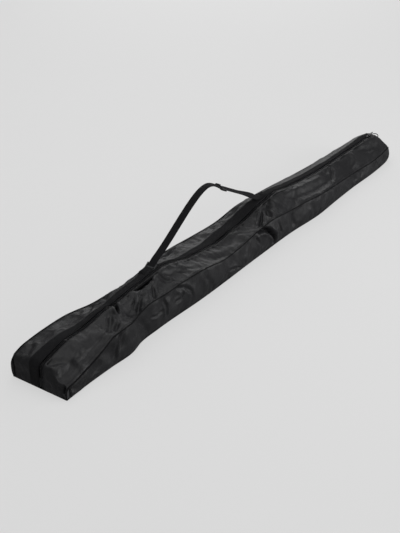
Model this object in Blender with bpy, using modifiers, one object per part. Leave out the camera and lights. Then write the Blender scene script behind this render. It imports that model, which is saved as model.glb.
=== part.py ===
"""Bag for one pair of skis: a long soft box with a lengthwise zip and an arched carry strap.

Metres, +Z up. The origin is on the floor under the middle of the bag. The tail end, which is
square, is at -X, and the tip end, which is rounded, is at +X. Left is +Y. The zip lies a little
to the right of the middle, beside the storm flap. The two top panels swing open about the seams
at their outer edges, and the carry strap stands on the left one.
"""
import math

import bpy
from mathutils import Vector

# Driving dimensions of the bag
LENGTH = 1.88
LOOP_REACH = 0.010
TAIL_X = -LENGTH / 2
TIP_X = LENGTH / 2 - LOOP_REACH
MOUTH_TAIL_X = TAIL_X + 0.11
MOUTH_TIP_X = TIP_X - 0.09
RIDGE_Z = 0.0993
FABRIC = 0.0016
GAP = 0.0004
FLOOR_GAP = 0.0020

# Half width of the bag, and height of the outer face at the top seam, along the bag
WIDTH_STATIONS = (
    (TAIL_X, 0.092), (MOUTH_TAIL_X, 0.092), (MOUTH_TIP_X, 0.079),
    (TIP_X - 0.045, 0.0765), (TIP_X - 0.025, 0.0720), (TIP_X - 0.010, 0.0660), (TIP_X, 0.0580),
)
SEAM_STATIONS = (
    (TAIL_X + 0.014, 0.052), (TAIL_X + 0.085, 0.090), (MOUTH_TAIL_X, 0.090),
    (MOUTH_TIP_X, 0.058), (TIP_X, 0.056),
)

# Zip: a channel in the ridge, with the chain in the middle of it
ZIP_Y = -0.010
CHANNEL = 0.0063
PLATEAU = 0.026
CHAIN_INNER = 0.0007
CHAIN_OUTER = 0.0036
CHAIN_LOW = 0.0955
CHAIN_HIGH = 0.0977
TAPE = 0.0008
TAPE_Z = 0.0962
TAPE_REACH = 0.0150
FLAP_WIDTH = 0.0222
FLAP = 0.0014

# Ends
END_RADIUS = 0.035
SEAM_RADIUS = 0.012
ARC_STEPS = 4
TAIL_WALL_X = TAIL_X + FLAP + GAP

# Seam piping
PIPING_RADIUS = 0.0018

# Slider and pull
SLIDER_X = TIP_X - 0.055
SLIDER_LENGTH = 0.016
SLIDER_WIDTH = 0.011
SLIDER_PLATE = 0.0015
SLIDER_CLEARANCE = 0.0008
SLIDER_WEB = 0.0005
WEB_LENGTH = 0.005
BRIDGE_HALF = 0.0010
BRIDGE_LEG = 0.0008
BRIDGE_SPAN = 0.0040
BRIDGE_CLEARANCE = 0.0016
BRIDGE_THICK = 0.0010
SINK = 0.0004
PULL_OFFSET = 0.002
PULL_HINGE_Z = 0.1030
PULL_LENGTH = 0.026
PULL_WIDTH = 0.008
PULL_THICK = 0.0016
CORD_RADIUS = 0.0008
PULL_WINDOW = 0.0064
PULL_WINDOW_HALF = 0.0026
PULL_HOLE_HALF = 0.0018
PULL_HOLE_NEAR = 0.0045
PULL_HOLE_FAR = 0.0010
CORD_REACH = 0.0090

# Loop on the tip end
LOOP_Y = -0.012
LOOP_HALF_WIDTH = 0.014
LOOP_RADIUS = 0.0015
LOOP_TILT = 30.0

# Carry strap
STRAP_Y = 0.012
STRAP_WIDTH = 0.025
WEBBING = 0.0015
STRAP_NEAR = Vector((TAIL_X + 0.512, STRAP_Y, 0.1455))
STRAP_APEX = Vector((TAIL_X + 0.7665, STRAP_Y, 0.2785))
STRAP_BEND = Vector((TAIL_X + 0.829, STRAP_Y, 0.2545))
STRAP_FAR = Vector((TAIL_X + 1.040, STRAP_Y, 0.1395))
NEAR_SLOPE = 0.70
FAR_SLOPE = (STRAP_BEND.z - STRAP_FAR.z) / (STRAP_FAR.x - STRAP_BEND.x)
STRAP_FOOT_Z = 0.1042
FOOT_LENGTH = 0.030
FOOT_BEND = 0.006
PATCH_MARGIN = 0.004
SWING_GAP = 0.0012
BUCKLE_LENGTH = 0.028
BUCKLE_RAIL = 0.0022
BUCKLE_HALF_HEIGHT = 0.0028
BUCKLE_SIDE_GAP = 0.0006
BUCKLE_BAR = 0.0032
CROSS_BAR_HALF = 0.0025
JOIN = 0.0004
NEAR_LOCK_REACH = 0.024
ADJUSTER_REACH = 0.018

# Pieces inside
TIE_WIDTH = 0.025
TIE_HALF_SPAN = 0.070
PAD_HALF_WIDTH = 0.080
PAD_THICK = 0.008
PAD_LOW = 0.0024
PAD_HIGH = 0.0340


def clear_scene():
    for item in list(bpy.data.objects):
        bpy.data.objects.remove(item, do_unlink=True)


def new_collection(name):
    collection = bpy.data.collections.new(name)
    bpy.context.scene.collection.children.link(collection)
    return collection


def make_material(name, colour, roughness, metallic=0.0):
    material = bpy.data.materials.new(name)
    material.use_nodes = True
    shader = material.node_tree.nodes["Principled BSDF"]
    shader.inputs["Base Color"].default_value = (*colour, 1.0)
    shader.inputs["Roughness"].default_value = roughness
    shader.inputs["Metallic"].default_value = metallic
    return material


clear_scene()
PARTS = new_collection("ski_bag")
CUTTERS = new_collection("cutters")

COATED_FABRIC = make_material("coated_fabric", (0.022, 0.022, 0.024), 0.42)
MATTE_WEBBING = make_material("matte_webbing", (0.014, 0.014, 0.015), 0.75)
ZIP_NYLON = make_material("zip_nylon", (0.010, 0.010, 0.011), 0.5)
ACETAL = make_material("acetal", (0.012, 0.012, 0.013), 0.35)
ZINC = make_material("black_zinc", (0.02, 0.02, 0.022), 0.3, 0.9)
FOAM = make_material("foam", (0.05, 0.05, 0.052), 0.9)


def add_object(name, data, material, collection=PARTS):
    thing = bpy.data.objects.new(name, data)
    thing.data.materials.append(material)
    collection.objects.link(thing)
    return thing


def along(stations, x):
    """Value at x on straight lines between stations."""
    if x <= stations[0][0]:
        return stations[0][1]
    for (x0, v0), (x1, v1) in zip(stations, stations[1:]):
        if x <= x1:
            return v0 + (v1 - v0) * (x - x0) / (x1 - x0)
    return stations[-1][1]


def half_width(x):
    return along(WIDTH_STATIONS, x)


def seam_z(x):
    return along(SEAM_STATIONS, x)


def shell(name, rows, thickness, outward, material):
    """A closed skin: an open surface through rows of points, thickened away from outward."""
    columns = len(rows[0])
    faces = []
    for r in range(len(rows) - 1):
        for c in range(columns - 1):
            corner = r * columns + c
            faces.append((corner, corner + columns, corner + columns + 1, corner + 1))
    mesh = bpy.data.meshes.new(name)
    mesh.from_pydata([point for row in rows for point in row], [], faces)
    if mesh.polygons[0].normal.dot(Vector(outward)) < 0:
        mesh.flip_normals()
    skin = add_object(name, mesh, material)
    solidify = skin.modifiers.new("thickness", "SOLIDIFY")
    solidify.thickness = thickness
    solidify.offset = -1.0
    solidify.use_even_offset = True
    return skin


def ribbon(name, path, y_low, y_high, thickness, outward, material):
    """A flat band: a path of (x, z) points drawn out from y_low to y_high."""
    rows = [((x, y_low, z), (x, y_high, z)) for x, z in path]
    return shell(name, rows, thickness, outward, material)


def box(name, low, high, material, bevel=0.0, collection=PARTS):
    """A box between two corners."""
    bpy.ops.mesh.primitive_cube_add(size=1.0)
    cube = bpy.context.object
    for owner in list(cube.users_collection):
        owner.objects.unlink(cube)
    collection.objects.link(cube)
    cube.name = name
    cube.data.name = name
    middle = (Vector(low) + Vector(high)) / 2
    size = Vector(high) - Vector(low)
    for vertex in cube.data.vertices:
        vertex.co = Vector((vertex.co.x * size.x, vertex.co.y * size.y, vertex.co.z * size.z))
    cube.location = middle
    cube.data.materials.append(material)
    if bevel:
        rounding = cube.modifiers.new("rounding", "BEVEL")
        rounding.width = bevel
        rounding.segments = 1
    return cube


def plate(name, outlines, low_z, high_z, material):
    """A flat plate: closed outlines, the first outside and the others holes, drawn up in Z."""
    curve = bpy.data.curves.new(name, "CURVE")
    curve.dimensions = "2D"
    curve.fill_mode = "BOTH"
    curve.extrude = (high_z - low_z) / 2
    for outline in outlines:
        spline = curve.splines.new("POLY")
        spline.points.add(len(outline) - 1)
        for point, (x, y) in zip(spline.points, outline):
            point.co = (x, y, 0.0, 1.0)
        spline.use_cyclic_u = True
    flat = add_object(name, curve, material)
    flat.location = (0.0, 0.0, (low_z + high_z) / 2)
    return flat


def tube(name, points, radius, material, closed=False):
    curve = bpy.data.curves.new(name, "CURVE")
    curve.dimensions = "3D"
    curve.bevel_depth = radius
    curve.bevel_resolution = 1
    curve.use_fill_caps = not closed
    spline = curve.splines.new("POLY")
    spline.points.add(len(points) - 1)
    for point, place in zip(spline.points, points):
        point.co = (*place, 1.0)
    spline.use_cyclic_u = closed
    return add_object(name, curve, material)


def join_boxes(name, boxes, material):
    """One solid from overlapping boxes, each given by two corners."""
    base = box(name, *boxes[0], material)
    for index, corners in enumerate(boxes[1:]):
        other = box(f"{name}_part_{index}", *corners, material, collection=CUTTERS)
        other.hide_render = True
        other.display_type = "WIRE"
        union = base.modifiers.new(f"join_{index}", "BOOLEAN")
        union.operation = "UNION"
        union.object = other
    return base


def arc(centre, radius, start, end, steps):
    """Points (x, z) on an arc, with angles in degrees from +X towards +Z."""
    points = []
    for step in range(steps + 1):
        angle = math.radians(start + (end - start) * step / steps)
        points.append((centre[0] + radius * math.cos(angle), centre[1] + radius * math.sin(angle)))
    return points


def bezier(p0, p1, p2, p3, steps):
    points = []
    for step in range(steps + 1):
        t = step / steps
        s = 1.0 - t
        points.append(p0 * s**3 + p1 * 3 * s * s * t + p2 * 3 * s * t * t + p3 * t**3)
    return points


# A top panel's section, from the seam to the zip channel

def section_columns(x, side):
    """(y, rise) pairs: rise is 0 at the seam and 1 on the flat beside the zip channel."""
    width = half_width(x)
    edge = ZIP_Y + side * CHANNEL
    flat = min(PLATEAU, 0.6 * width)
    return ((side * width, 0.0), (side * 0.64 * width, 0.64), (side * flat, 1.0), (edge, 1.0))


def roof_point(x, side, column):
    y, rise = section_columns(x, side)[column]
    return (x, y, seam_z(x) + (RIDGE_Z - seam_z(x)) * rise)


def top_panel(name, side):
    stations = [MOUTH_TAIL_X + GAP, MOUTH_TIP_X - GAP]
    rows = [[roof_point(x, side, column) for column in range(4)] for x in stations]
    return shell(name, rows, FABRIC, (0, 0, 1), COATED_FABRIC)


def end_profile(wall_x, mouth_x, inward, rise, inset=0.0):
    """(x, z) points of one column of an end panel: up the end wall and over to the mouth."""
    level_x = wall_x + inward * (SEAM_RADIUS + (END_RADIUS - SEAM_RADIUS) * rise)
    level_z = seam_z(level_x) + (RIDGE_Z - seam_z(level_x)) * rise - inset
    radius = abs(level_x - wall_x) - inset
    centre = (level_x, level_z - radius)
    start, end = (180, 90) if inward > 0 else (0, 90)
    points = [(wall_x + inward * inset, FLOOR_GAP)] + arc(centre, radius, start, end, ARC_STEPS)
    bend_x = mouth_x - inward * 0.025
    for x in (bend_x, mouth_x - inward * GAP):
        points.append((x, seam_z(x) + (RIDGE_Z - seam_z(x)) * rise - inset))
    return points


def end_panel(name, side, wall_x, mouth_x, inward):
    """Half of the bag's closed end: it turns down from the top over a rounded edge."""
    profiles = []
    for column in range(4):
        rise = section_columns(mouth_x, side)[column][1]
        points = end_profile(wall_x, mouth_x, inward, rise)
        profiles.append([(x, section_columns(x, side)[column][0], z) for x, z in points])
    rows = [list(row) for row in zip(*profiles)]
    return shell(name, rows, FABRIC, (-inward, 0, 0), COATED_FABRIC)


def side_strip(name, side, top):
    """A standing wall along the bag's edge, under the (x, z) points of its top edge."""
    rows = [((x, side * half_width(x), FLOOR_GAP), (x, side * half_width(x), z)) for x, z in top]
    return shell(name, rows, FABRIC, (0, side, 0), COATED_FABRIC)


def side_panels(word, side):
    """Side wall, and the rounded wall of the tip; both end just under the top seam."""
    inset = FABRIC + GAP
    long_top = end_profile(TAIL_WALL_X, MOUTH_TAIL_X, 1, 0.0, inset)[1:]
    mouth_end = MOUTH_TIP_X - GAP
    long_top.append((mouth_end, seam_z(mouth_end) - inset))
    side_strip(f"side_panel_{word}", side, long_top)
    tip_top = end_profile(TIP_X, MOUTH_TIP_X, -1, 0.0, inset)[1:]
    side_strip(f"tip_side_{word}", side, tip_top[::-1])


def bottom_panel():
    stations = [TAIL_WALL_X, MOUTH_TAIL_X] + [x for x, width in WIDTH_STATIONS[2:]]
    right = [(x, -half_width(x)) for x in stations]
    left = [(x, half_width(x)) for x in reversed(stations)]
    return plate("bottom_panel", [right + left], 0.0, FABRIC, COATED_FABRIC)


def piping(name, side):
    """Covered cord sewn along the top seam, just outside the side panel."""
    offset = PIPING_RADIUS + 0.0003
    stations = [TAIL_X + 0.016, TAIL_X + 0.085, MOUTH_TAIL_X, MOUTH_TIP_X]
    stations += [TIP_X - 0.045, TIP_X - 0.025, TIP_X - 0.014]
    drop = FABRIC + GAP + 0.0010
    points = [(x, side * (half_width(x) + offset), seam_z(x) - drop) for x in stations]
    return tube(name, points, PIPING_RADIUS, MATTE_WEBBING)


# Zip

def zip_half(side, word):
    """Tape and coil of one side of the mouth."""
    start = MOUTH_TAIL_X + GAP
    end = MOUTH_TIP_X - GAP
    coil = sorted((ZIP_Y + side * CHAIN_INNER, ZIP_Y + side * CHAIN_OUTER))
    box(f"zip_chain_{word}", (start, coil[0], CHAIN_LOW), (end, coil[1], CHAIN_HIGH), ZIP_NYLON)
    tape = sorted((ZIP_Y + side * (CHAIN_OUTER + 0.0003), ZIP_Y + side * TAPE_REACH))
    box(f"zip_tape_{word}", (start, tape[0], TAPE_Z), (end, tape[1], TAPE_Z + TAPE), ZIP_NYLON)


def zip_end(name, closed_x, mouth_x, inward):
    """The zip's fixed end: two rails of closed coil and the stop that joins them."""
    edge = CHANNEL - 0.0003
    near = closed_x + inward * 0.003
    far = mouth_x - inward * GAP
    outline = [
        (closed_x, ZIP_Y - edge), (far, ZIP_Y - edge), (far, ZIP_Y - CHAIN_INNER),
        (near, ZIP_Y - CHAIN_INNER), (near, ZIP_Y + CHAIN_INNER), (far, ZIP_Y + CHAIN_INNER),
        (far, ZIP_Y + edge), (closed_x, ZIP_Y + edge),
    ]
    return plate(name, [outline], CHAIN_LOW, CHAIN_HIGH, ZIP_NYLON)


def end_zip_band(name, wall_x, mouth_x, inward):
    """The zip's last stretch, which turns down the end wall in the channel."""
    path = end_profile(wall_x, mouth_x, inward, 1.0)[:ARC_STEPS + 2]
    edge = CHANNEL - 0.0003
    return ribbon(name, path, ZIP_Y - edge, ZIP_Y + edge, FABRIC, (-inward, 0, 0), ZIP_NYLON)


def storm_flap():
    edge = ZIP_Y + CHANNEL
    low = (MOUTH_TAIL_X + GAP, edge, RIDGE_Z + GAP)
    high = (MOUTH_TIP_X - GAP, edge + FLAP_WIDTH, RIDGE_Z + GAP + FLAP)
    box("storm_flap", low, high, MATTE_WEBBING)


def tail_flap():
    """The storm flap's fixed end, which goes over the tail's edge and down the wall."""
    lift = GAP + FLAP
    path = end_profile(TAIL_WALL_X, MOUTH_TAIL_X, 1, 1.0, -lift)
    edge = ZIP_Y + CHANNEL
    return ribbon("tail_flap", path, edge, edge + FLAP_WIDTH, FLAP, (-1, 0, 0), MATTE_WEBBING)


def zip_slider():
    """Two plates joined by a thin wedge between the coils, and the bridge that holds the pull."""
    x0 = SLIDER_X - SLIDER_LENGTH / 2
    x1 = SLIDER_X + SLIDER_LENGTH / 2
    y0 = ZIP_Y - SLIDER_WIDTH / 2
    y1 = ZIP_Y + SLIDER_WIDTH / 2
    top = CHAIN_HIGH + SLIDER_CLEARANCE
    low = CHAIN_LOW - SLIDER_CLEARANCE
    web = SLIDER_WEB / 2
    hinge_x = SLIDER_X + PULL_OFFSET
    bridge_z = PULL_HINGE_Z + BRIDGE_CLEARANCE
    boxes = [
        ((x0, y0, top), (x1, y1, top + SLIDER_PLATE)),
        ((x0, y0, low - SLIDER_PLATE), (x1, y1, low)),
        ((SLIDER_X, ZIP_Y - web, low - SINK), (SLIDER_X + WEB_LENGTH, ZIP_Y + web, top + SINK)),
    ]
    for side in (-1, 1):
        middle = hinge_x + side * BRIDGE_SPAN
        boxes.append((
            (middle - BRIDGE_LEG, ZIP_Y - BRIDGE_HALF, top + SINK),
            (middle + BRIDGE_LEG, ZIP_Y + BRIDGE_HALF, bridge_z + 0.8 * BRIDGE_THICK),
        ))
    reach = BRIDGE_SPAN + 0.6 * BRIDGE_LEG
    narrow = 0.9 * BRIDGE_HALF
    boxes.append((
        (hinge_x - reach, ZIP_Y - narrow, bridge_z),
        (hinge_x + reach, ZIP_Y + narrow, bridge_z + BRIDGE_THICK),
    ))
    return join_boxes("zip_slider", boxes, ZINC)


def zip_pull():
    """Flat tab whose end bar turns under the slider's bridge, with a hole for the cord."""
    pin_x = SLIDER_X + PULL_OFFSET
    half = PULL_WIDTH / 2
    bar = PULL_THICK / 2
    end_x = pin_x + PULL_LENGTH
    tip = [(end_x + 0.5 * half, ZIP_Y - 0.5 * half), (end_x + 0.5 * half, ZIP_Y + 0.5 * half)]
    outline = [(pin_x - bar, ZIP_Y - half), (end_x, ZIP_Y - half)] + tip
    outline += [(end_x, ZIP_Y + half), (pin_x - bar, ZIP_Y + half)]
    window = rectangle(pin_x + bar, pin_x + PULL_WINDOW, PULL_WINDOW_HALF)
    hole = rectangle(end_x - PULL_HOLE_NEAR, end_x - PULL_HOLE_FAR, PULL_HOLE_HALF)
    return plate("zip_pull", [outline, window, hole], PULL_HINGE_Z - bar, PULL_HINGE_Z + bar, ZINC)


def rectangle(x0, x1, half_width_y):
    """Corners of a rectangle about the zip line."""
    y0 = ZIP_Y - half_width_y
    y1 = ZIP_Y + half_width_y
    return [(x0, y0), (x1, y0), (x1, y1), (x0, y1)]


def zip_pull_cord():
    """Cord ring through the pull's hole and round its end."""
    height = PULL_THICK / 2 + GAP + CORD_RADIUS
    hole_x = SLIDER_X + PULL_OFFSET + PULL_LENGTH - (PULL_HOLE_NEAR + PULL_HOLE_FAR) / 2
    centre_x = hole_x + height
    path = arc((centre_x, PULL_HINGE_Z), height, 90, 270, 6)
    path += arc((centre_x + CORD_REACH, PULL_HINGE_Z), height, 270, 450, 6)
    points = [(x, ZIP_Y, z) for x, z in path]
    return tube("zip_pull_cord", points, CORD_RADIUS, MATTE_WEBBING, closed=True)


def pull_loop():
    """Small cord loop on the rounded edge of the tip end, for hanging or pulling the bag."""
    tilt = math.radians(LOOP_TILT)
    outward = Vector((math.cos(tilt), 0.0, math.sin(tilt)))
    bend_centre = Vector((TIP_X - END_RADIUS, LOOP_Y, RIDGE_Z - END_RADIUS))
    foot = bend_centre + outward * (END_RADIUS + LOOP_RADIUS + GAP)
    height = (TIP_X + LOOP_REACH - LOOP_RADIUS - foot.x) / outward.x
    points = []
    for across, rise in arc((0.0, 0.0), 1.0, 180, 0, 12):
        points.append(foot + Vector((0.0, across * LOOP_HALF_WIDTH, 0.0)) + outward * rise * height)
    return tube("tip_pull_loop", points, LOOP_RADIUS, MATTE_WEBBING)


# Carry strap

def strap_span():
    return STRAP_Y - STRAP_WIDTH / 2, STRAP_Y + STRAP_WIDTH / 2


def carry_strap():
    rise = bezier(
        STRAP_NEAR, STRAP_NEAR + Vector((0.078, 0, 0.0335)),
        STRAP_APEX - Vector((0.0665, 0, 0)), STRAP_APEX, 12,
    )
    crest = bezier(
        STRAP_APEX, STRAP_APEX + Vector((0.028, 0, 0)),
        STRAP_BEND - Vector((0.020, 0, -0.020 * FAR_SLOPE)), STRAP_BEND, 5,
    )
    path = [(p.x, p.z) for p in rise + crest[1:] + [STRAP_FAR]]
    return ribbon("carry_strap", path, *strap_span(), WEBBING, (-0.5, 0, 1), MATTE_WEBBING)


def strap_foot(name, end, slope, toward):
    """Fixed end of the strap: flat on its patch, then up to where the arch begins."""
    run = (end.z - STRAP_FOOT_Z) / slope
    bend_x = end.x - toward * run
    path = [
        (bend_x - toward * FOOT_LENGTH, STRAP_FOOT_Z), (bend_x - toward * FOOT_BEND, STRAP_FOOT_Z),
        (bend_x + toward * FOOT_BEND, STRAP_FOOT_Z + FOOT_BEND * slope),
        (end.x - toward * SWING_GAP, end.z - SWING_GAP * slope),
    ]
    ribbon(name, path, *strap_span(), WEBBING, (-0.5 * toward, 0, 1), MATTE_WEBBING)
    return bend_x


def anchor_patch(name, bend_x, toward):
    """Reinforcing patch sewn over the storm flap, under the strap's foot."""
    outer = bend_x - toward * (FOOT_LENGTH + PATCH_MARGIN)
    x0, x1 = sorted((outer, bend_x - toward * PATCH_MARGIN / 2))
    low = RIDGE_Z + 2 * GAP + FLAP
    y_low, y_high = strap_span()
    high = STRAP_FOOT_Z - WEBBING - GAP
    box(name, (x0, y_low, low), (x1, y_high, high), MATTE_WEBBING)


def strap_buckle(name, centre, angle):
    """Sliding buckle: end bars under the webbing, a cross bar over it, rails at the sides."""
    inner = STRAP_WIDTH / 2 + BUCKLE_SIDE_GAP
    outer = inner + BUCKLE_RAIL
    half = BUCKLE_LENGTH / 2
    under = -WEBBING / 2 - GAP
    over = WEBBING / 2 + GAP
    high = BUCKLE_HALF_HEIGHT
    low_bar = -high + JOIN / 2
    boxes = [((-half, -outer, -high), (half, -inner, high))]
    boxes.append(((-half, inner, -high), (half, outer, high)))
    for start in (-half + JOIN / 2, half - BUCKLE_BAR - JOIN / 2):
        low_corner = (start, -inner - JOIN, low_bar)
        boxes.append((low_corner, (start + BUCKLE_BAR, inner + JOIN, under)))
    low_corner = (-CROSS_BAR_HALF, -inner - JOIN, over)
    boxes.append((low_corner, (CROSS_BAR_HALF, inner + JOIN, high - JOIN / 2)))
    buckle = join_boxes(name, boxes, ACETAL)
    turn_group(buckle, boxes, centre, angle)
    return buckle


def turn_group(base, boxes, centre, angle):
    """Hangs a joined solid and its cutters on an empty, which places and tilts them."""
    holder = bpy.data.objects.new(f"{base.name}_frame", None)
    PARTS.objects.link(holder)
    members = [base] + [bpy.data.objects[f"{base.name}_part_{i}"] for i in range(len(boxes) - 1)]
    for member in members:
        member.parent = holder
    holder.location = centre
    holder.rotation_euler = (0.0, math.radians(angle), 0.0)


# Pieces inside the bag

def tail_pad():
    x0 = TAIL_WALL_X + FABRIC + GAP
    low = (x0, -PAD_HALF_WIDTH, PAD_LOW)
    box("tail_pad", low, (x0 + PAD_THICK, PAD_HALF_WIDTH, PAD_HIGH), FOAM, bevel=0.25 * PAD_THICK)


def inner_tie(name, x):
    """Webbing tie sewn to the bottom, which goes round the skis."""
    low = (x - TIE_WIDTH / 2, -TIE_HALF_SPAN, FLOOR_GAP)
    high = (x + TIE_WIDTH / 2, TIE_HALF_SPAN, FLOOR_GAP + WEBBING)
    box(name, low, high, MATTE_WEBBING)


def build():
    bottom_panel()
    for word, side in (("left", 1), ("right", -1)):
        side_panels(word, side)
        top_panel(f"top_panel_{word}", side)
        end_panel(f"tail_panel_{word}", side, TAIL_WALL_X, MOUTH_TAIL_X, 1)
        end_panel(f"tip_panel_{word}", side, TIP_X, MOUTH_TIP_X, -1)
        piping(f"piping_{word}", side)
        zip_half(side, word)
    zip_end("zip_end_tail", TAIL_WALL_X + END_RADIUS + GAP, MOUTH_TAIL_X, 1)
    zip_end("zip_end_tip", TIP_X - END_RADIUS - GAP, MOUTH_TIP_X, -1)
    end_zip_band("tail_zip_band", TAIL_WALL_X, MOUTH_TAIL_X, 1)
    end_zip_band("tip_garage", TIP_X, MOUTH_TIP_X, -1)
    storm_flap()
    tail_flap()
    zip_slider()
    zip_pull()
    zip_pull_cord()
    pull_loop()
    carry_strap()
    near_bend = strap_foot("strap_foot_near", STRAP_NEAR, NEAR_SLOPE, 1)
    far_bend = strap_foot("strap_foot_far", STRAP_FAR, FAR_SLOPE, -1)
    anchor_patch("anchor_patch_near", near_bend, 1)
    anchor_patch("anchor_patch_far", far_bend, -1)
    buckles()
    tail_pad()
    inner_tie("inner_tie_rear", TAIL_X + 0.35)
    inner_tie("inner_tie_front", TAIL_X + 1.30)


def buckles():
    """The ladder lock on the near foot, and the adjuster on the arch's straight far side."""
    sink = WEBBING / 2
    near = NEAR_LOCK_REACH
    far = ADJUSTER_REACH
    lock = STRAP_NEAR - Vector((near, 0, near * NEAR_SLOPE + sink))
    adjuster = STRAP_BEND + Vector((far, 0, -far * FAR_SLOPE - sink))
    strap_buckle("ladder_lock", lock, -math.degrees(math.atan(NEAR_SLOPE)))
    strap_buckle("strap_adjuster", adjuster, math.degrees(math.atan(FAR_SLOPE)))


build()
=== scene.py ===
"""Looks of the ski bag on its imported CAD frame: crumpled fabric, zip, webbing and hardware.

Metres, in the CAD's own frame. A place along the bag is its distance from the tail, so the tail
wall is at 0 and the tip at LENGTH. Right is the -Y side. Across a top panel, share is 0 at the
outer seam and 1 at the zip. Across a side panel, share is 0 at the floor and 1 at the seam.
"""
import math

import bmesh
import bpy
import numpy as np
from mathutils import Matrix, Vector, noise
from mathutils.bvhtree import BVHTree


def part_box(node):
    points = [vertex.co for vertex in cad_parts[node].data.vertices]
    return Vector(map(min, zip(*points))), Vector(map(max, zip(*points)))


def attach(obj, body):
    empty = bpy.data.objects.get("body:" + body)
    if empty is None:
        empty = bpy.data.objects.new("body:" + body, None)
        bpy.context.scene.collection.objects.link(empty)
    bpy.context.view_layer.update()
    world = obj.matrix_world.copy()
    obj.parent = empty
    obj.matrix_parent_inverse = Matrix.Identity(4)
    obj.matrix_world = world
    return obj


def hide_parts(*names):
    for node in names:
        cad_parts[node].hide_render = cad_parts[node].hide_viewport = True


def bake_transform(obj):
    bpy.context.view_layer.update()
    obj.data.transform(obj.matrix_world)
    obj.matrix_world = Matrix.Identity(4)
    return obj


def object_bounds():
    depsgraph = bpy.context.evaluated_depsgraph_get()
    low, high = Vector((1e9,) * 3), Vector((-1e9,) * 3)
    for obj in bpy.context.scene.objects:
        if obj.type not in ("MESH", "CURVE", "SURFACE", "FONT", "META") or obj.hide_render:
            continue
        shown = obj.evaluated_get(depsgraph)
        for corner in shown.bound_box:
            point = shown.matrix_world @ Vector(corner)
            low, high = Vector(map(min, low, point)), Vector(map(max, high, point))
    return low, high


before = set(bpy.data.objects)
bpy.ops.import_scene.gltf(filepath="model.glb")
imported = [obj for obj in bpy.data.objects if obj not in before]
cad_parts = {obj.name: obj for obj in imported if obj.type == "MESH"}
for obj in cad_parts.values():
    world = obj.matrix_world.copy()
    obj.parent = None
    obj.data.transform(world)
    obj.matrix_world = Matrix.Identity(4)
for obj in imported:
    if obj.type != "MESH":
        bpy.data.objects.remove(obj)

CAD_LOW, CAD_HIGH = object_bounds()
TAIL_X = CAD_LOW.x
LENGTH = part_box("tip_panel_left")[1].x - TAIL_X

# Zip, storm flap and mouth, from the CAD
CHAIN_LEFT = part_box("zip_chain_left")
CHAIN_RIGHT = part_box("zip_chain_right")
STORM_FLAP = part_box("storm_flap")
ZIP_Y = (CHAIN_LEFT[1].y + CHAIN_RIGHT[0].y) / 2
CHANNEL = STORM_FLAP[0].y - ZIP_Y
COIL_INNER = CHAIN_LEFT[0].y - ZIP_Y
COIL_OUTER = CHAIN_LEFT[1].y - ZIP_Y

# The bag's shape, as (distance from the tail, value) stations that a smooth curve goes through
RIDGE_HEIGHT = (
    (0.00, 0.068), (0.03, 0.080), (0.07, 0.0915), (0.104, 0.0985), (0.130, 0.0985), (0.160, 0.0985),
    (0.20, 0.1030), (0.24, 0.110), (0.27, 0.1125), (0.31, 0.1125), (0.365, 0.119), (0.44, 0.124),
    (0.50, 0.129), (0.53, 0.126), (0.57, 0.117), (0.63, 0.101), (0.72, 0.091), (0.79, 0.085),
    (0.87, 0.093), (0.93, 0.097), (0.97, 0.103), (1.02, 0.115), (1.07, 0.121), (1.12, 0.128),
    (1.20, 0.116), (1.30, 0.105), (1.42, 0.097), (1.62, 0.096), (1.74, 0.097), (1.800, 0.0985),
    (1.830, 0.0980), (1.87, 0.090),
)
BAND_HEIGHT = (
    (0.00, 0.072), (0.02, 0.081), (0.074, 0.0915), (0.136, 0.0950), (0.187, 0.0925), (0.235, 0.098),
    (0.275, 0.101), (0.32, 0.107), (0.40, 0.118), (0.46, 0.123), (0.51, 0.120), (0.56, 0.110),
    (0.62, 0.098), (0.70, 0.090), (0.78, 0.086), (0.83, 0.089), (0.916, 0.100), (0.978, 0.111),
    (1.02, 0.122), (1.10, 0.126), (1.16, 0.121), (1.24, 0.110), (1.34, 0.101), (1.50, 0.093),
    (1.70, 0.091), (1.815, 0.094), (1.87, 0.086),
)
BAND_WIDTH = (
    (0.00, 0.031), (0.09, 0.029), (0.18, 0.0225), (0.30, 0.022), (0.70, 0.023), (0.82, 0.030),
    (0.98, 0.030), (1.06, 0.026), (1.20, 0.022), (1.87, 0.020),
)
SEAM_RIGHT = (
    (0.00, 0.034), (0.04, 0.036), (0.08, 0.045), (0.11, 0.053), (0.15, 0.068), (0.19, 0.086),
    (0.23, 0.092), (0.31, 0.092), (0.37, 0.099), (0.43, 0.096), (0.55, 0.098), (0.63, 0.093),
    (0.73, 0.078), (0.80, 0.080), (0.92, 0.093), (1.00, 0.096), (1.10, 0.086), (1.23, 0.080),
    (1.40, 0.066), (1.55, 0.057), (1.76, 0.051), (1.87, 0.056),
)
SEAM_LEFT = (
    (0.00, 0.066), (0.03, 0.077), (0.076, 0.0815), (0.145, 0.0825), (0.216, 0.0805), (0.25, 0.077),
    (0.285, 0.0735), (0.36, 0.0745), (0.44, 0.072), (0.525, 0.0765), (0.58, 0.084), (0.66, 0.086),
    (0.78, 0.080), (0.92, 0.077), (1.03, 0.088), (1.15, 0.083), (1.27, 0.073), (1.39, 0.062),
    (1.565, 0.053), (1.75, 0.052), (1.87, 0.052),
)
FLOOR_RIGHT = (
    (0.00, 0.096), (0.08, 0.093), (0.18, 0.094), (0.27, 0.096), (0.315, 0.085), (0.40, 0.082),
    (0.60, 0.088), (0.93, 0.085), (1.12, 0.085), (1.30, 0.095), (1.42, 0.090), (1.55, 0.086),
    (1.73, 0.087), (1.80, 0.084), (1.835, 0.081), (1.855, 0.078), (1.87, 0.074),
)
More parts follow.
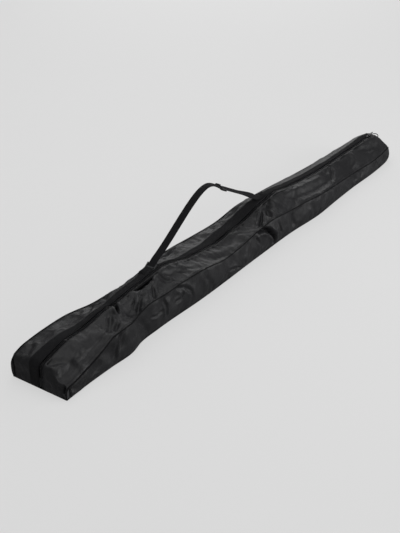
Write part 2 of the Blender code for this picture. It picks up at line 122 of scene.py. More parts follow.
FLOOR_LEFT = (
    (0.00, 0.092), (0.27, 0.092), (0.32, 0.085), (0.60, 0.088), (1.12, 0.086), (1.30, 0.090),
    (1.73, 0.084), (1.80, 0.081), (1.835, 0.078), (1.855, 0.075), (1.87, 0.071),
)
SEAM_INSET = {"right": 0.002, "left": 0.008}
PUFF_RIGHT = (
    (0.00, 2.0), (0.14, 1.9), (0.24, 1.5), (0.34, 1.15), (0.46, 0.95), (0.62, 1.15), (0.80, 1.25),
    (1.00, 1.05), (1.12, 0.85), (1.24, 1.1), (1.50, 1.45), (1.87, 1.7),
)
PUFF_LEFT = ((0.00, 1.4), (0.30, 1.1), (0.60, 1.2), (1.00, 1.1), (1.30, 1.4), (1.87, 1.7))
SIDE_BULGE = {"right": 0.003, "left": 0.006}
FLOOR_CLEARANCE = 0.0015
FLOOR_TUCK = 0.0012
TAIL_WALL = 0.0018
SEAM_ROUNDING = 0.012
TAIL_ROUNDING = 0.021
TIP_ROUNDING = 0.027

# Short dips of the ridge, as (distance, half length, depth)
RIDGE_DIPS = ((0.288, 0.009, 0.0065), (0.405, 0.030, 0.0015))

# Folds, as (path, half width, height, lip beside it). Heights under zero go in. A path is (distance
# from the tail, y) on a top panel and (distance from the tail, z) on a side panel.
FOLDS = {
    "top_right": (
        (((0.296, -0.012), (0.286, -0.027), (0.276, -0.046)), 0.0046, -0.0170, 0.0035),
        (((0.262, -0.030), (0.244, -0.040), (0.198, -0.074)), 0.0055, -0.0045, 0.0010),
        (((0.268, -0.042), (0.250, -0.064), (0.216, -0.076)), 0.0050, -0.0060, 0.0015),
        (((0.278, -0.026), (0.262, -0.052), (0.236, -0.070)), 0.0060, 0.0045, 0.0),
        (
            ((0.300, -0.030), (0.330, -0.031), (0.352, -0.036), (0.388, -0.030), (0.430, -0.030)),
            0.0070, 0.0050, 0.0,
        ),
        (((0.296, -0.052), (0.318, -0.060), (0.340, -0.070)), 0.0130, -0.0075, 0.0),
        (((0.364, -0.028), (0.354, -0.036), (0.318, -0.052)), 0.0040, -0.0035, 0.0010),
        (((0.400, -0.030), (0.356, -0.052), (0.312, -0.078)), 0.0050, -0.0050, 0.0015),
        (((0.418, -0.030), (0.374, -0.064), (0.352, -0.078)), 0.0065, 0.0045, 0.0),
        (((0.442, -0.030), (0.426, -0.044), (0.394, -0.074)), 0.0040, -0.0040, 0.0010),
        (((0.376, -0.0215), (0.410, -0.0215), (0.456, -0.0210)), 0.0048, -0.0150, 0.0020),
        (((0.474, -0.022), (0.440, -0.036), (0.392, -0.080)), 0.0045, -0.0045, 0.0015),
        (((0.476, -0.022), (0.482, -0.048), (0.510, -0.072)), 0.0060, -0.0040, 0.0010),
        (((0.480, -0.020), (0.530, -0.030), (0.610, -0.048)), 0.0080, 0.0030, 0.0),
        (((0.500, -0.030), (0.560, -0.050), (0.640, -0.072)), 0.0110, -0.0040, 0.0),
        (((0.690, -0.030), (0.760, -0.048), (0.830, -0.070)), 0.0120, 0.0035, 0.0),
        (((0.700, -0.060), (0.770, -0.074)), 0.0090, -0.0035, 0.0),
        (((0.840, -0.030), (0.880, -0.046), (0.900, -0.070)), 0.0070, -0.0030, 0.0010),
        (((1.058, -0.018), (1.008, -0.038), (0.956, -0.066), (0.932, -0.082)), 0.0042, -0.0085, 0.0),
        (((1.046, -0.018), (0.994, -0.036), (0.938, -0.062)), 0.0055, 0.0050, 0.0),
        (((1.078, -0.022), (1.046, -0.036), (1.014, -0.066)), 0.0095, -0.0125, 0.0025),
        (((1.092, -0.020), (1.080, -0.044), (1.058, -0.070)), 0.0060, 0.0040, 0.0),
        (((1.170, -0.026), (1.150, -0.052), (1.108, -0.070)), 0.0090, 0.0035, 0.0),
        (((1.228, -0.026), (1.196, -0.052), (1.160, -0.078)), 0.0090, -0.0040, 0.0010),
        (((1.150, -0.040), (1.220, -0.058), (1.340, -0.064), (1.430, -0.062)), 0.0120, -0.0080, 0.0),
        (((1.160, -0.030), (1.260, -0.034), (1.400, -0.036)), 0.0100, 0.0055, 0.0),
        (((1.494, -0.022), (1.478, -0.040), (1.430, -0.066)), 0.0060, -0.0060, 0.0030),
        (((1.646, -0.024), (1.626, -0.052), (1.570, -0.068)), 0.0130, 0.0080, 0.0),
        (((1.680, -0.030), (1.760, -0.050), (1.820, -0.060)), 0.0140, -0.0060, 0.0),
        (((0.0018, -0.0960), (0.0018, -0.0860)), 0.0050, -0.0200, 0.0),
        (((0.012, -0.022), (0.042, -0.044), (0.066, -0.070)), 0.0090, -0.0050, 0.0015),
        (((0.070, -0.030), (0.100, -0.052), (0.112, -0.072)), 0.0100, 0.0025, 0.0),
        (((0.030, -0.076), (0.110, -0.072), (0.190, -0.070)), 0.0030, -0.0015, 0.0010),
    ),
    "top_left": (
        (((0.010, 0.045), (0.040, 0.052), (0.060, 0.074)), 0.0070, -0.0030, 0.0010),
        (((0.230, 0.030), (0.262, 0.050), (0.300, 0.074)), 0.0070, -0.0045, 0.0015),
        (((0.300, 0.026), (0.330, 0.046), (0.346, 0.074)), 0.0060, -0.0040, 0.0015),
        (((0.470, 0.030), (0.442, 0.050), (0.410, 0.074)), 0.0060, -0.0045, 0.0010),
        (((0.482, 0.030), (0.500, 0.052), (0.524, 0.076)), 0.0060, -0.0040, 0.0015),
        (((0.500, 0.028), (0.560, 0.040), (0.640, 0.050)), 0.0060, 0.0035, 0.0),
        (((0.560, 0.054), (0.620, 0.060), (0.700, 0.066)), 0.0045, -0.0040, 0.0015),
        (((0.790, 0.040), (0.850, 0.050), (0.890, 0.070)), 0.0080, -0.0030, 0.0),
        (((0.940, 0.054), (1.000, 0.046), (1.040, 0.032)), 0.0055, -0.0040, 0.0015),
        (((1.080, 0.030), (1.110, 0.050), (1.150, 0.074)), 0.0070, -0.0045, 0.0010),
        (((1.200, 0.026), (1.230, 0.060)), 0.0080, 0.0030, 0.0),
        (((1.380, 0.024), (1.360, 0.050), (1.320, 0.070)), 0.0080, -0.0030, 0.0010),
        (((1.600, 0.022), (1.570, 0.050), (1.540, 0.070)), 0.0090, 0.0025, 0.0),
    ),
    "side_right": (
        (((0.009, 0.000), (0.009, 0.018), (0.013, 0.036)), 0.0060, -0.0240, 0.0),
        (((0.224, 0.090), (0.208, 0.066), (0.188, 0.024)), 0.0055, -0.0050, 0.0020),
        (((0.240, 0.090), (0.222, 0.066), (0.206, 0.034)), 0.0045, -0.0035, 0.0010),
        (((0.300, 0.080), (0.330, 0.056), (0.350, 0.020)), 0.0110, -0.0040, 0.0),
        (((0.368, 0.056), (0.394, 0.050), (0.420, 0.052)), 0.0035, -0.0035, 0.0015),
        (((0.428, 0.084), (0.434, 0.060), (0.430, 0.030)), 0.0040, -0.0045, 0.0020),
        (((0.444, 0.082), (0.450, 0.050)), 0.0050, 0.0030, 0.0),
        (((0.486, 0.092), (0.520, 0.080), (0.546, 0.058), (0.552, 0.036)), 0.0055, -0.0055, 0.0020),
        (((0.494, 0.086), (0.512, 0.070), (0.500, 0.052), (0.474, 0.050)), 0.0045, -0.0035, 0.0010),
        (((0.620, 0.070), (0.640, 0.040), (0.660, 0.010)), 0.0110, -0.0035, 0.0),
        (((0.740, 0.036), (0.775, 0.026), (0.815, 0.014)), 0.0045, -0.0040, 0.0015),
        (((0.860, 0.070), (0.840, 0.040), (0.836, 0.010)), 0.0100, 0.0030, 0.0),
        (((0.914, 0.086), (0.904, 0.070), (0.922, 0.046)), 0.0040, -0.0040, 0.0015),
        (
            ((0.918, 0.088), (0.950, 0.086), (0.980, 0.068), (1.004, 0.040), (1.016, 0.010)),
            0.0070, -0.0230, 0.0050,
        ),
        (((1.034, 0.078), (1.042, 0.058), (1.056, 0.030)), 0.0040, -0.0045, 0.0020),
        (((1.120, 0.074), (1.126, 0.050), (1.142, 0.020)), 0.0080, -0.0035, 0.0010),
        (((1.230, 0.070), (1.250, 0.040), (1.262, 0.010)), 0.0090, -0.0035, 0.0010),
        (((1.400, 0.060), (1.380, 0.030)), 0.0090, 0.0030, 0.0),
        (((1.560, 0.050), (1.580, 0.020)), 0.0090, -0.0030, 0.0010),
        (((1.740, 0.044), (1.752, 0.018)), 0.0070, -0.0030, 0.0),
    ),
    "side_left": (
        (((0.014, 0.000), (0.013, 0.030), (0.018, 0.062)), 0.0070, -0.0060, 0.0),
        (((0.240, 0.074), (0.256, 0.046), (0.262, 0.016)), 0.0070, -0.0050, 0.0020),
        (((0.300, 0.068), (0.330, 0.040), (0.340, 0.010)), 0.0080, -0.0045, 0.0010),
        (((0.440, 0.068), (0.428, 0.040), (0.440, 0.012)), 0.0060, -0.0045, 0.0020),
        (((0.520, 0.070), (0.552, 0.050), (0.566, 0.020)), 0.0070, -0.0050, 0.0020),
        (((0.700, 0.074), (0.720, 0.040), (0.760, 0.014)), 0.0090, -0.0035, 0.0010),
        (((0.900, 0.070), (0.930, 0.050), (0.936, 0.014)), 0.0080, -0.0050, 0.0020),
        (((1.030, 0.080), (1.014, 0.050), (1.030, 0.014)), 0.0070, -0.0060, 0.0030),
        (((1.160, 0.076), (1.180, 0.044), (1.176, 0.014)), 0.0080, -0.0040, 0.0010),
        (((1.330, 0.064), (1.350, 0.030)), 0.0080, -0.0035, 0.0010),
        (((1.540, 0.048), (1.560, 0.018)), 0.0080, -0.0030, 0.0010),
        (((1.730, 0.044), (1.740, 0.016)), 0.0070, -0.0025, 0.0),
    ),
}
FOLD_EDGE = 0.006
UNEVENNESS = {"top": 0.0022, "side": 0.0036}

# Cloth simulation of the two kinds of panel: spare fabric, frames and resistance to bending. The
# strip of a top panel beside the zip is held, and from CALM_START to CALM_END the buckling fades
SPARE_FABRIC = {"top": 0.028, "side": 0.012}
CRUMPLE_FRAMES = {"top": 22, "side": 16}
BENDING = {"top": 1.6, "side": 4.0}
HELD_STRIP = {"right": 0.018, "left": 0.030}
CALM_START = 1.06
CALM_END = 1.20
CALM = 0.65

# Grids of the skins before they are refined once
GRID_WIDTH = 0.085
ROW_STEP = 0.0060
COLUMN_STEP = 0.0053
WALL_ROWS = 11
ARC_ROWS = 7

SKIN_THICKNESS = 0.0009

# Zip, seams and stitches
CHAIN_DROP = 0.0019
COIL_RADIUS = 0.0009
COIL_THREAD = 0.42 * COIL_RADIUS
THREAD_SIDES = 6
TOOTH_PITCH = 0.0022
TAPE_DROP = 0.0027
TAPE_OUTER = 0.0125
TAPE_THICKNESS = 0.0006
BAND_THICKNESS = 0.0012
BAND_LIFT = 0.0004
PIPING_RADIUS = 0.0019
PIPING_OUTSET = 0.0006
PIPING_FOOT = 0.004
PIPING_STEP = 0.004
FLOOR_SEAM_RADIUS = 0.0013
STITCH_PITCH = 0.0042
STITCH_LENGTH = 0.0030
STITCH_RADIUS = 0.00038
STITCH_SIDES = 5
SEAM_STITCH_INSET = 0.0060
HEM = 0.0025
HEM_SHARE = HEM / 0.022

# Carry strap, with the arch's points repeated from the CAD
STRAP_Y = 0.012
STRAP_HALF_WIDTH = 0.0125
STRAP_THICKNESS = 0.0015
STRAP_NEAR = Vector((0.512, 0.1455))
STRAP_APEX = Vector((0.7665, 0.2785))
STRAP_BEND = Vector((0.829, 0.2545))
STRAP_FAR = Vector((1.040, 0.1395))
NEAR_SLOPE = 0.70
FAR_SLOPE = (STRAP_BEND.y - STRAP_FAR.y) / (STRAP_FAR.x - STRAP_BEND.x)
NEAR_FOOT = (0.450, 0.474)
FAR_FOOT = (1.074, 1.104)
ADJUSTER_BANK = 22.0
BANK = (
    (0.765, 0.0), (0.825, ADJUSTER_BANK), (0.955, ADJUSTER_BANK), (1.015, 42.0), (1.045, 40.0),
    (1.080, 0.0),
)
SEWN_MARGIN = 0.003
SEWN_HEIGHT = 0.0042
PATCH_MARGIN = 0.002
PATCH_HEIGHT = 0.0017
PATCH_THICKNESS = 0.0011
SEWN_STITCHES = {"pitch": 0.0030, "length": 0.0024}

# Buckles, zip stops and cords
BUCKLE_RAIL = 0.0032
ZIP_STOPS = {"tail": 0.101, "tip": 1.8285}
PULL_CORD_RADIUS = 0.0008
LOOP_RADIUS = 0.0015
LOOP_TILT = 30.0

CAMERA_AZIMUTH = -54.86
CAMERA_ELEVATION = 29.2
CAMERA_PLACE = (-2.407, -1.538, 1.523)
CAMERA_LENS = 67.54
FLOOR_GLOW = 0.555

# By how many radians a wave texture's phase grows in a metre, at a scale of 1
WAVE_PHASE = 20.0

# Which way y goes on each side, and directions by name
SIDES = {"left": 1.0, "right": -1.0}
ACROSS = (0.0, 1.0, 0.0)
UP = (0.0, 0.0, 1.0)
DOWN = (0.0, 0.0, -1.0)


# Numbers along the bag

def along(stations, distance):
    """Value at a distance on a smooth curve through the stations."""
    places = np.array([place for place, value in stations])
    values = np.array([value for place, value in stations])
    slopes = np.gradient(values, places)
    distance = np.clip(distance, places[0], places[-1])
    index = np.clip(np.searchsorted(places, distance) - 1, 0, len(places) - 2)
    span = places[index + 1] - places[index]
    t = (distance - places[index]) / span
    start = values[index] * (2 * t**3 - 3 * t**2 + 1) + slopes[index] * span * (t**3 - 2 * t**2 + t)
    end = values[index + 1] * (3 * t**2 - 2 * t**3) + slopes[index + 1] * span * (t**3 - t**2)
    return start + end


def ease(low, high, value):
    """0 before low, 1 after high, smooth in between."""
    t = np.clip((value - low) / (high - low), 0.0, 1.0)
    return t * t * (3 - 2 * t)


def seam_place(word, distance):
    """(y, z) of the outer seam."""
    height = along(SEAM_RIGHT if word == "right" else SEAM_LEFT, distance)
    return SIDES[word] * (floor_width(word, distance) - SEAM_INSET[word]), height


def floor_width(word, distance):
    """How far the bag's lower edge is from its middle on one side."""
    return along(FLOOR_RIGHT if word == "right" else FLOOR_LEFT, distance)


def zip_edge(word):
    """y of a top panel's edge beside the zip."""
    return ZIP_Y + SIDES[word] * CHANNEL


def ridge_height(distance):
    """Height of the zip's edges, with the short dips where the fabric is pinched."""
    height = along(RIDGE_HEIGHT, distance)
    for middle, half_length, depth in RIDGE_DIPS:
        height = height - depth * np.exp(-(((distance - middle) / half_length) ** 2))
    return height


def top_place(word, distance, share):
    """(y, z) of a point across a top panel, before it is crumpled."""
    seam_y, seam_z = seam_place(word, distance)
    edge_y = zip_edge(word)
    y = seam_y + (edge_y - seam_y) * share
    ridge = ridge_height(distance)
    if word == "right":
        return y, seam_z + (ridge - seam_z) * (1.0 - (1.0 - share) ** along(PUFF_RIGHT, distance))
    band = along(BAND_HEIGHT, distance)
    band_share = 1.0 - along(BAND_WIDTH, distance) / (seam_y - edge_y)
    outside = np.minimum(share / band_share, 1.0)
    inside = np.maximum((share - band_share) / (1.0 - band_share), 0.0)
    rise = 1.0 - (1.0 - outside) ** along(PUFF_LEFT, distance)
    return y, seam_z + (band - seam_z) * rise + (ridge - band) * inside


# Meshes

def added(name, data):
    """A new object in the scene for a mesh, a curve, a camera or a light."""
    made = bpy.data.objects.new(name, data)
    bpy.context.scene.collection.objects.link(made)
    return made


def mesh_object(name, points, faces, material):
    mesh = bpy.data.meshes.new(name)
    mesh.from_pydata([tuple(point) for point in points], [], faces)
    mesh.polygons.foreach_set("use_smooth", [True] * len(mesh.polygons))
    mesh.materials.append(material)
    return added(name, mesh)


def run_along(points):
    """Length along a path up to each of its points."""
    return np.concatenate([[0.0], np.cumsum(np.linalg.norm(np.diff(points, axis=0), axis=1))])


def point_at(place, run, points):
    """x, y and z of a path at one or more lengths along it."""
    return [np.interp(place, run, points[:, axis]) for axis in range(3)]


def resampled(points, step):
    """The path's points at even steps."""
    run = run_along(points)
    count = max(3, int(run[-1] / step) + 1)
    return np.stack(point_at(np.linspace(0.0, run[-1], count), run, points), axis=1)


def smoothed(points, times=2):
    points = points.copy()
    for repeat in range(times):
        points[1:-1] = 0.25 * points[:-2] + 0.5 * points[1:-1] + 0.25 * points[2:]
    return points


def same(direction, count):
    """The direction, once for each point of a path."""
    return np.tile(direction, (count, 1))


def add_shape(points, faces, made, joined):
    """Adds a small shape's points and faces to a mesh that is being collected."""
    faces += [tuple(index + len(points) for index in face) for face in joined]
    points += made


def grid_faces(rows, columns, around=False):
    """Quads of a grid; around joins the last column to the first."""
    faces = []
    for row in range(rows - 1):
        for column in range(columns if around else columns - 1):
            a = row * columns + column
            b = row * columns + (column + 1) % columns
            faces.append((a, b, b + columns, a + columns))
    return faces


def grid_object(name, grid, material, outward=None, around=False, caps=False):
    """A surface through a grid of points, with a map of its lengths in metres for the weave."""
    rows, columns = grid.shape[:2]
    faces = grid_faces(rows, columns, around)
    if caps:
        faces.append(tuple(range(columns)))
        faces.append(tuple(reversed(range((rows - 1) * columns, rows * columns))))
    piece = mesh_object(name, grid.reshape(-1, 3), faces, material)
    down = np.linalg.norm(np.diff(grid, axis=0), axis=2).mean(1)
    across = np.linalg.norm(np.diff(grid, axis=1), axis=2).mean(0)
    u = np.concatenate([[0.0], np.cumsum(down)])
    v = np.concatenate([[0.0], np.cumsum(across)])
    layer = piece.data.uv_layers.new(name="lengths")
    corners = np.zeros(len(piece.data.loops), int)
    piece.data.loops.foreach_get("vertex_index", corners)
    uv = np.stack([u[corners // columns], v[corners % columns]], axis=1)
    layer.data.foreach_set("uv", uv.astype(np.float32).ravel())
    if outward is not None:
        mean = sum((face.normal * face.area for face in piece.data.polygons), Vector())
        if mean.dot(Vector(outward)) < 0:
            piece.data.flip_normals()
    return piece


def tube(name, grid, material, closed=False):
    """A solid piece through rings of points, with its two ends capped or joined to each other."""
    if closed:
        grid = np.concatenate([grid, grid[:1]])
    piece = grid_object(name, grid, material, around=True, caps=not closed)
    mesh = bmesh.new()
    mesh.from_mesh(piece.data)
    if closed:
        bmesh.ops.remove_doubles(mesh, verts=mesh.verts, dist=0.00001)
    bmesh.ops.recalc_face_normals(mesh, faces=mesh.faces)
    mesh.to_mesh(piece.data)
    mesh.free()
    return piece


def coordinates(piece):
    points = np.zeros(len(piece.data.vertices) * 3)
    piece.data.vertices.foreach_get("co", points)
    return points.reshape(-1, 3)


def set_coordinates(piece, points):
    piece.data.vertices.foreach_set("co", points.astype(np.float32).ravel())
    piece.data.update()


def normals_of(piece):
    normals = np.zeros(len(piece.data.vertices) * 3)
    piece.data.vertices.foreach_get("normal", normals)
    return normals.reshape(-1, 3)


def bake_modifiers(piece):
    """Replaces the piece's mesh by what its modifiers make of it."""
    graph = bpy.context.evaluated_depsgraph_get()
    made = bpy.data.meshes.new_from_object(piece.evaluated_get(graph))
    piece.modifiers.clear()
    piece.data = made


def thicken(piece, thickness, offset=-1.0):
    solidify = piece.modifiers.new("thickness", "SOLIDIFY")
    solidify.thickness = thickness
    solidify.offset = offset
    return solidify


def thicken_lined(piece):
    """Gives a skin its thickness, with the lining on its inner face."""
    piece.data.materials.append(LINING)
    thicken(piece, SKIN_THICKNESS).material_offset = 1


def refine(piece):
    """Splits each face in four and rounds the surface."""
    finer = piece.modifiers.new("finer", "SUBSURF")
    finer.levels = 1
    finer.render_levels = 1
    finer.boundary_smooth = "ALL"
    bake_modifiers(piece)


def held_edges(grid):
    """1 on the border of a grid, where the simulation holds the fabric, and 0 inside."""
    held = np.zeros(grid.shape[:2])
    held[[0, -1]] = 1.0
    held[:, [0, -1]] = 1.0
    return held


def crumple(piece, held, kind, keep=1.0):
    """Cloth simulation: fabric a little too large for its place, held at its edges, buckles.

    keep is the share of the buckling that stays, for each point or for all.
    """
    flat = coordinates(piece)
    group = piece.vertex_groups.new(name="held")
    for index in np.flatnonzero(held):
        group.add([int(index)], 1.0, "REPLACE")
    cloth = piece.modifiers.new("cloth", "CLOTH")
    settings = cloth.settings
    settings.quality = 6
    settings.mass = 0.12
    settings.tension_stiffness = 18.0
    settings.compression_stiffness = 18.0
    settings.shear_stiffness = 9.0
    settings.bending_stiffness = BENDING[kind]
    settings.tension_damping = 8.0
    settings.compression_damping = 8.0
    settings.shear_damping = 8.0
    settings.bending_damping = 1.0
    settings.air_damping = 3.0
    settings.shrink_min = -SPARE_FABRIC[kind]
    settings.shrink_max = -SPARE_FABRIC[kind]
    settings.vertex_group_mass = "held"
    settings.effector_weights.gravity = 0.25
    cloth.collision_settings.use_collision = False
    cloth.point_cache.frame_start = 1
    cloth.point_cache.frame_end = CRUMPLE_FRAMES[kind]
    for number in range(1, CRUMPLE_FRAMES[kind] + 1):
        bpy.context.scene.frame_set(number)
    bake_modifiers(piece)
    bpy.context.scene.frame_set(1)
    piece.vertex_groups.clear()
    buckling = coordinates(piece) - flat
    set_coordinates(piece, flat + buckling * np.broadcast_to(keep, len(flat))[:, None])


def distance_to_path(places, path):
    """Distance of each place to a path, and how far along the path it is, 0 to 1."""
    path = np.array(path)
    run = run_along(path)
    nearest = np.full(len(places), np.inf)
    share = np.zeros(len(places))
    for index, start in enumerate(path[:-1]):
        span = np.linalg.norm(path[index + 1] - start)
        direction = (path[index + 1] - start) / span
        t = np.clip((places - start) @ direction, 0.0, span)
        away = np.linalg.norm(places - (start + t[:, None] * direction), axis=1)
        closer = away < nearest
        nearest[closer] = away[closer]
        share[closer] = (run[index] + t[closer]) / run[-1]
    return nearest, share


def edge_room(points, word, kind):
    """For each point, 0 at the panel's seams and 1 where folds may move it freely."""
    seam_y, seam_z = seam_place(word, points[:, 0] - TAIL_X)
    if kind == "top":
        from_seam = np.abs(seam_y - points[:, 1])
        from_zip = np.abs(points[:, 1] - zip_edge(word))
        room = ease(0.0, FOLD_EDGE, from_seam) * ease(0.001, 0.5 * FOLD_EDGE, from_zip)
    else:
        room = ease(0.0, FOLD_EDGE, seam_z - points[:, 2])
    return room * ease(0.0, 0.5 * FOLD_EDGE, points[:, 2] - FLOOR_CLEARANCE)


def unevenness(point, size):
    """Height of slow swells, fine ones and thin raised creases at a point."""
    place = Vector(point)
    slow = noise.noise(place * 13.0 + Vector((3.1, 0.4, 7.7)))
    quick = noise.noise(place * 34.0)
    stretched = Vector((17.0 * point[0] + 9.2, 26.0 * point[1], 26.0 * point[2]))
    crease = 1.0 - 2.4 * abs(noise.noise(stretched))
    return size * slow + 0.0007 * quick + 0.0010 * crease


def press_folds(piece, word, kind):
    """Presses the named folds and a fine unevenness into a finished panel."""
    points = coordinates(piece)
    places = np.stack([points[:, 0] - TAIL_X, points[:, 1 if kind == "top" else 2]], axis=1)
    move = np.zeros(len(points))
    for path, half_width, height, lip in FOLDS[f"{kind}_{word}"]:
        away, share = distance_to_path(places, path)
        fade = 1.0 - np.abs(2 * share - 1) ** 4 * 0.75
        move += fade * height * np.exp(-((away / half_width) ** 2))
        move += fade * lip * np.exp(-(((away - 1.9 * half_width) / half_width) ** 2))
    for index, point in enumerate(points):
        move[index] += unevenness(point, UNEVENNESS[kind])
    move *= edge_room(points, word, kind)
    set_coordinates(piece, points + normals_of(piece) * move[:, None])


# Skins of the bag

def end_rows(word, share, near_tip):
    """(distance, y, z) down from where a top panel starts to bend at one end to the floor."""
    radius = SEAM_ROUNDING + ((TIP_ROUNDING if near_tip else TAIL_ROUNDING) - SEAM_ROUNDING) * share
    wall = LENGTH if near_tip else TAIL_WALL
    inward = -1.0 if near_tip else 1.0
    level = wall + inward * radius
    y, z = top_place(word, level, share)
    rows = []
    for step in range(1, ARC_ROWS + 1):
        angle = 0.5 * math.pi * step / ARC_ROWS
        distance = level - inward * radius * math.sin(angle)
        rows.append((distance, top_place(word, distance, share)[0], z - radius * (1 - math.cos(angle))))
    floor_y, low = rows[-1][1], rows[-1][2]
    for step in range(1, WALL_ROWS + 1):
        drop = step / WALL_ROWS
        rows.append((wall, floor_y, low + (FLOOR_CLEARANCE - low) * drop))
    return level, rows


def top_grid(word):
    """Grid of a top panel with its turned-down ends: a row for each step along the bag."""
    columns = int(GRID_WIDTH / COLUMN_STEP)
    rows = int(LENGTH / ROW_STEP)
    grid = []
    for column in range(columns + 1):
        share = column / columns
        tail_level, tail_rows = end_rows(word, share, False)
        tip_level, tip_rows = end_rows(word, share, True)
        path = tail_rows[::-1]
        for row in range(rows + 1):
            distance = tail_level + (tip_level - tail_level) * row / rows
            path.append((distance, *top_place(word, distance, share)))
        grid.append(path + tip_rows)
    points = np.array(grid).transpose(1, 0, 2)
    points[:, :, 0] += TAIL_X
    return points


def top_skin(word, material):
    grid = top_grid(word)
    piece = grid_object(f"top_skin_{word}", grid, material, UP)
    held = held_edges(grid)
    held[np.abs(grid[:, :, 1]) < HELD_STRIP[word]] = 1.0
    calm = CALM * ease(CALM_START, CALM_END, grid[:, :, 0].ravel() - TAIL_X)
    crumple(piece, held, "top", 1.0 - calm)
    refine(piece)
    press_folds(piece, word, "top")
    return piece


def side_grid(word):
    columns = int(GRID_WIDTH / COLUMN_STEP)
    rows = int(LENGTH / ROW_STEP)
    side = SIDES[word]
    points = np.zeros((rows + 1, columns + 1, 3))
    for row in range(rows + 1):
        distance = TAIL_WALL + (LENGTH - TAIL_WALL) * row / rows
        seam_y, seam_z = seam_place(word, distance)
        height = rounded_end(word, distance, seam_z) - FLOOR_CLEARANCE
        floor_y = side * floor_width(word, distance)
        for column in range(columns + 1):
            share = column / columns
            bulge = side * SIDE_BULGE[word] * 4 * share * (1 - share)
            tuck = side * FLOOR_TUCK * (1.0 - share) ** 8
            y = floor_y + (seam_y - floor_y) * share**2 + bulge - tuck
            points[row, column] = (TAIL_X + distance, y, FLOOR_CLEARANCE + height * share)
    return points


def rounded_end(word, distance, height):
    """The seam's height, with the small rounding by which it turns down at each end."""
    for wall, inward in ((TAIL_WALL, 1.0), (LENGTH, -1.0)):
        inset = (distance - wall) * inward
        if inset < SEAM_ROUNDING:
            level_z = seam_place(word, wall + inward * SEAM_ROUNDING)[1]
            lean = SEAM_ROUNDING - max(inset, 0.0)
            return level_z - SEAM_ROUNDING + math.sqrt(SEAM_ROUNDING**2 - lean**2)
    return float(height)


def side_skin(word, material):
    grid = side_grid(word)
    piece = grid_object(f"side_skin_{word}", grid, material, (0, SIDES[word], 0))
    crumple(piece, held_edges(grid), "side")
    refine(piece)
    press_folds(piece, word, "side")
    return piece


def bottom_skin(material):
    rows = int(LENGTH / 0.02)
    columns = 12
    points = np.zeros((rows + 1, columns + 1, 3))
    for row in range(rows + 1):
        distance = TAIL_WALL + (LENGTH - TAIL_WALL) * row / rows
        left = floor_width("left", distance) - FLOOR_TUCK
        right = -floor_width("right", distance) + FLOOR_TUCK
        for column in range(columns + 1):
            share = column / columns
            points[row, column] = (TAIL_X + distance, right + (left - right) * share, 0.0004)
    return grid_object("bottom_skin", points, material, DOWN)


# Pieces laid on the skins

FLAT_SECTION = (
    (-1.0, 0.5), (-0.985, 0.12), (-0.94, 0.0), (-0.5, 0.0), (0.0, 0.0), (0.5, 0.0), (0.94, 0.0),
    (0.985, 0.12), (1.0, 0.5), (0.985, 0.88), (0.94, 1.0), (0.5, 1.0), (0.0, 1.0), (-0.5, 1.0),
    (-0.94, 1.0), (-0.985, 0.88),
)


def surface_of(*pieces):
    """A searchable surface of these pieces' meshes as they are now."""
    points = []
    faces = []
    for piece in pieces:
        start = len(points)
        points += [tuple(vertex.co) for vertex in piece.data.vertices]
        faces += [[start + index for index in face.vertices] for face in piece.data.polygons]
    return BVHTree.FromPolygons(points, faces)


def laid(surface, points, lift):
    """The points moved to the nearest place on the surface and lifted off it."""
    made = []
    for point in points:
        place, normal = surface.find_nearest(Vector(point))[:2]
        made.append(tuple(place + normal * lift))
    return np.array(made)


def height_under(surface, x, y):
    """The surface's height at a place seen from above."""
    return surface.ray_cast(Vector((x, y, 0.4)), Vector(DOWN))[0].z


def lane(word, lateral, step=0.004):
    """Points up the tail wall, along a top panel and down the tip wall, at a y given by distance."""

    def share_at(distance):
        seam_y = seam_place(word, distance)[0]
        share = (lateral(distance) - seam_y) / (zip_edge(word) - seam_y)
        return float(np.clip(share, 0.0, 1.0))

    levels = []
    walls = []
    for near_tip, wall in ((False, TAIL_WALL), (True, LENGTH)):
        level, rows = end_rows(word, share_at(wall), near_tip)
        levels.append(level)
        walls.append([(distance, lateral(distance), z) for distance, y, z in rows])
    path = walls[0][::-1]
    steps = int(LENGTH / step)
    for row in range(steps + 1):
        distance = levels[0] + (levels[1] - levels[0]) * row / steps
        path.append((distance, lateral(distance), top_place(word, distance, share_at(distance))[1]))
    points = np.array(path + walls[1])
    points[:, 0] += TAIL_X
    return points


def unit(vectors):
    return vectors / np.linalg.norm(vectors, axis=1)[:, None]


def normals_along(points):
    """Unit normals of a lengthwise path, square to it and to the bag's width."""
    return unit(np.cross(unit(np.gradient(points, axis=0)), ACROSS))


def sweep(name, points, across, normals, half_width, thickness, material):
    """Webbing or tape: a flat section with rounded edges, drawn along a path."""
    section = np.array(FLAT_SECTION)
    grid = (
        points[:, None, :]
        + across[:, None, :] * (section[None, :, :1] * half_width)
        + normals[:, None, :] * (section[None, :, 1:] * thickness)
    )
    return tube(name, grid, material)


def cord_along(name, points, radius, material, sides=10, lay=0.0, closed=False):
    """A round cord; with a lay its surface shows the twist of three strands."""
    tangents = unit(np.gradient(points, axis=0))
    across = unit(np.cross(tangents, (0.31, 0.52, 0.79)))
    normals = np.cross(across, tangents)
    angles = np.arange(sides) * 2 * math.pi / sides
    swell = np.ones((len(points), sides))
    if lay:
        turns = run_along(points)[:, None] / lay
        swell = 0.84 + 0.16 * np.abs(np.cos(1.5 * (angles[None, :] - 2 * math.pi * turns)))
    reach = radius * swell
    grid = (
        points[:, None, :]
        + across[:, None, :] * (reach * np.cos(angles))[:, :, None]
        + normals[:, None, :] * (reach * np.sin(angles))[:, :, None]
    )
    return tube(name, grid, material, closed)


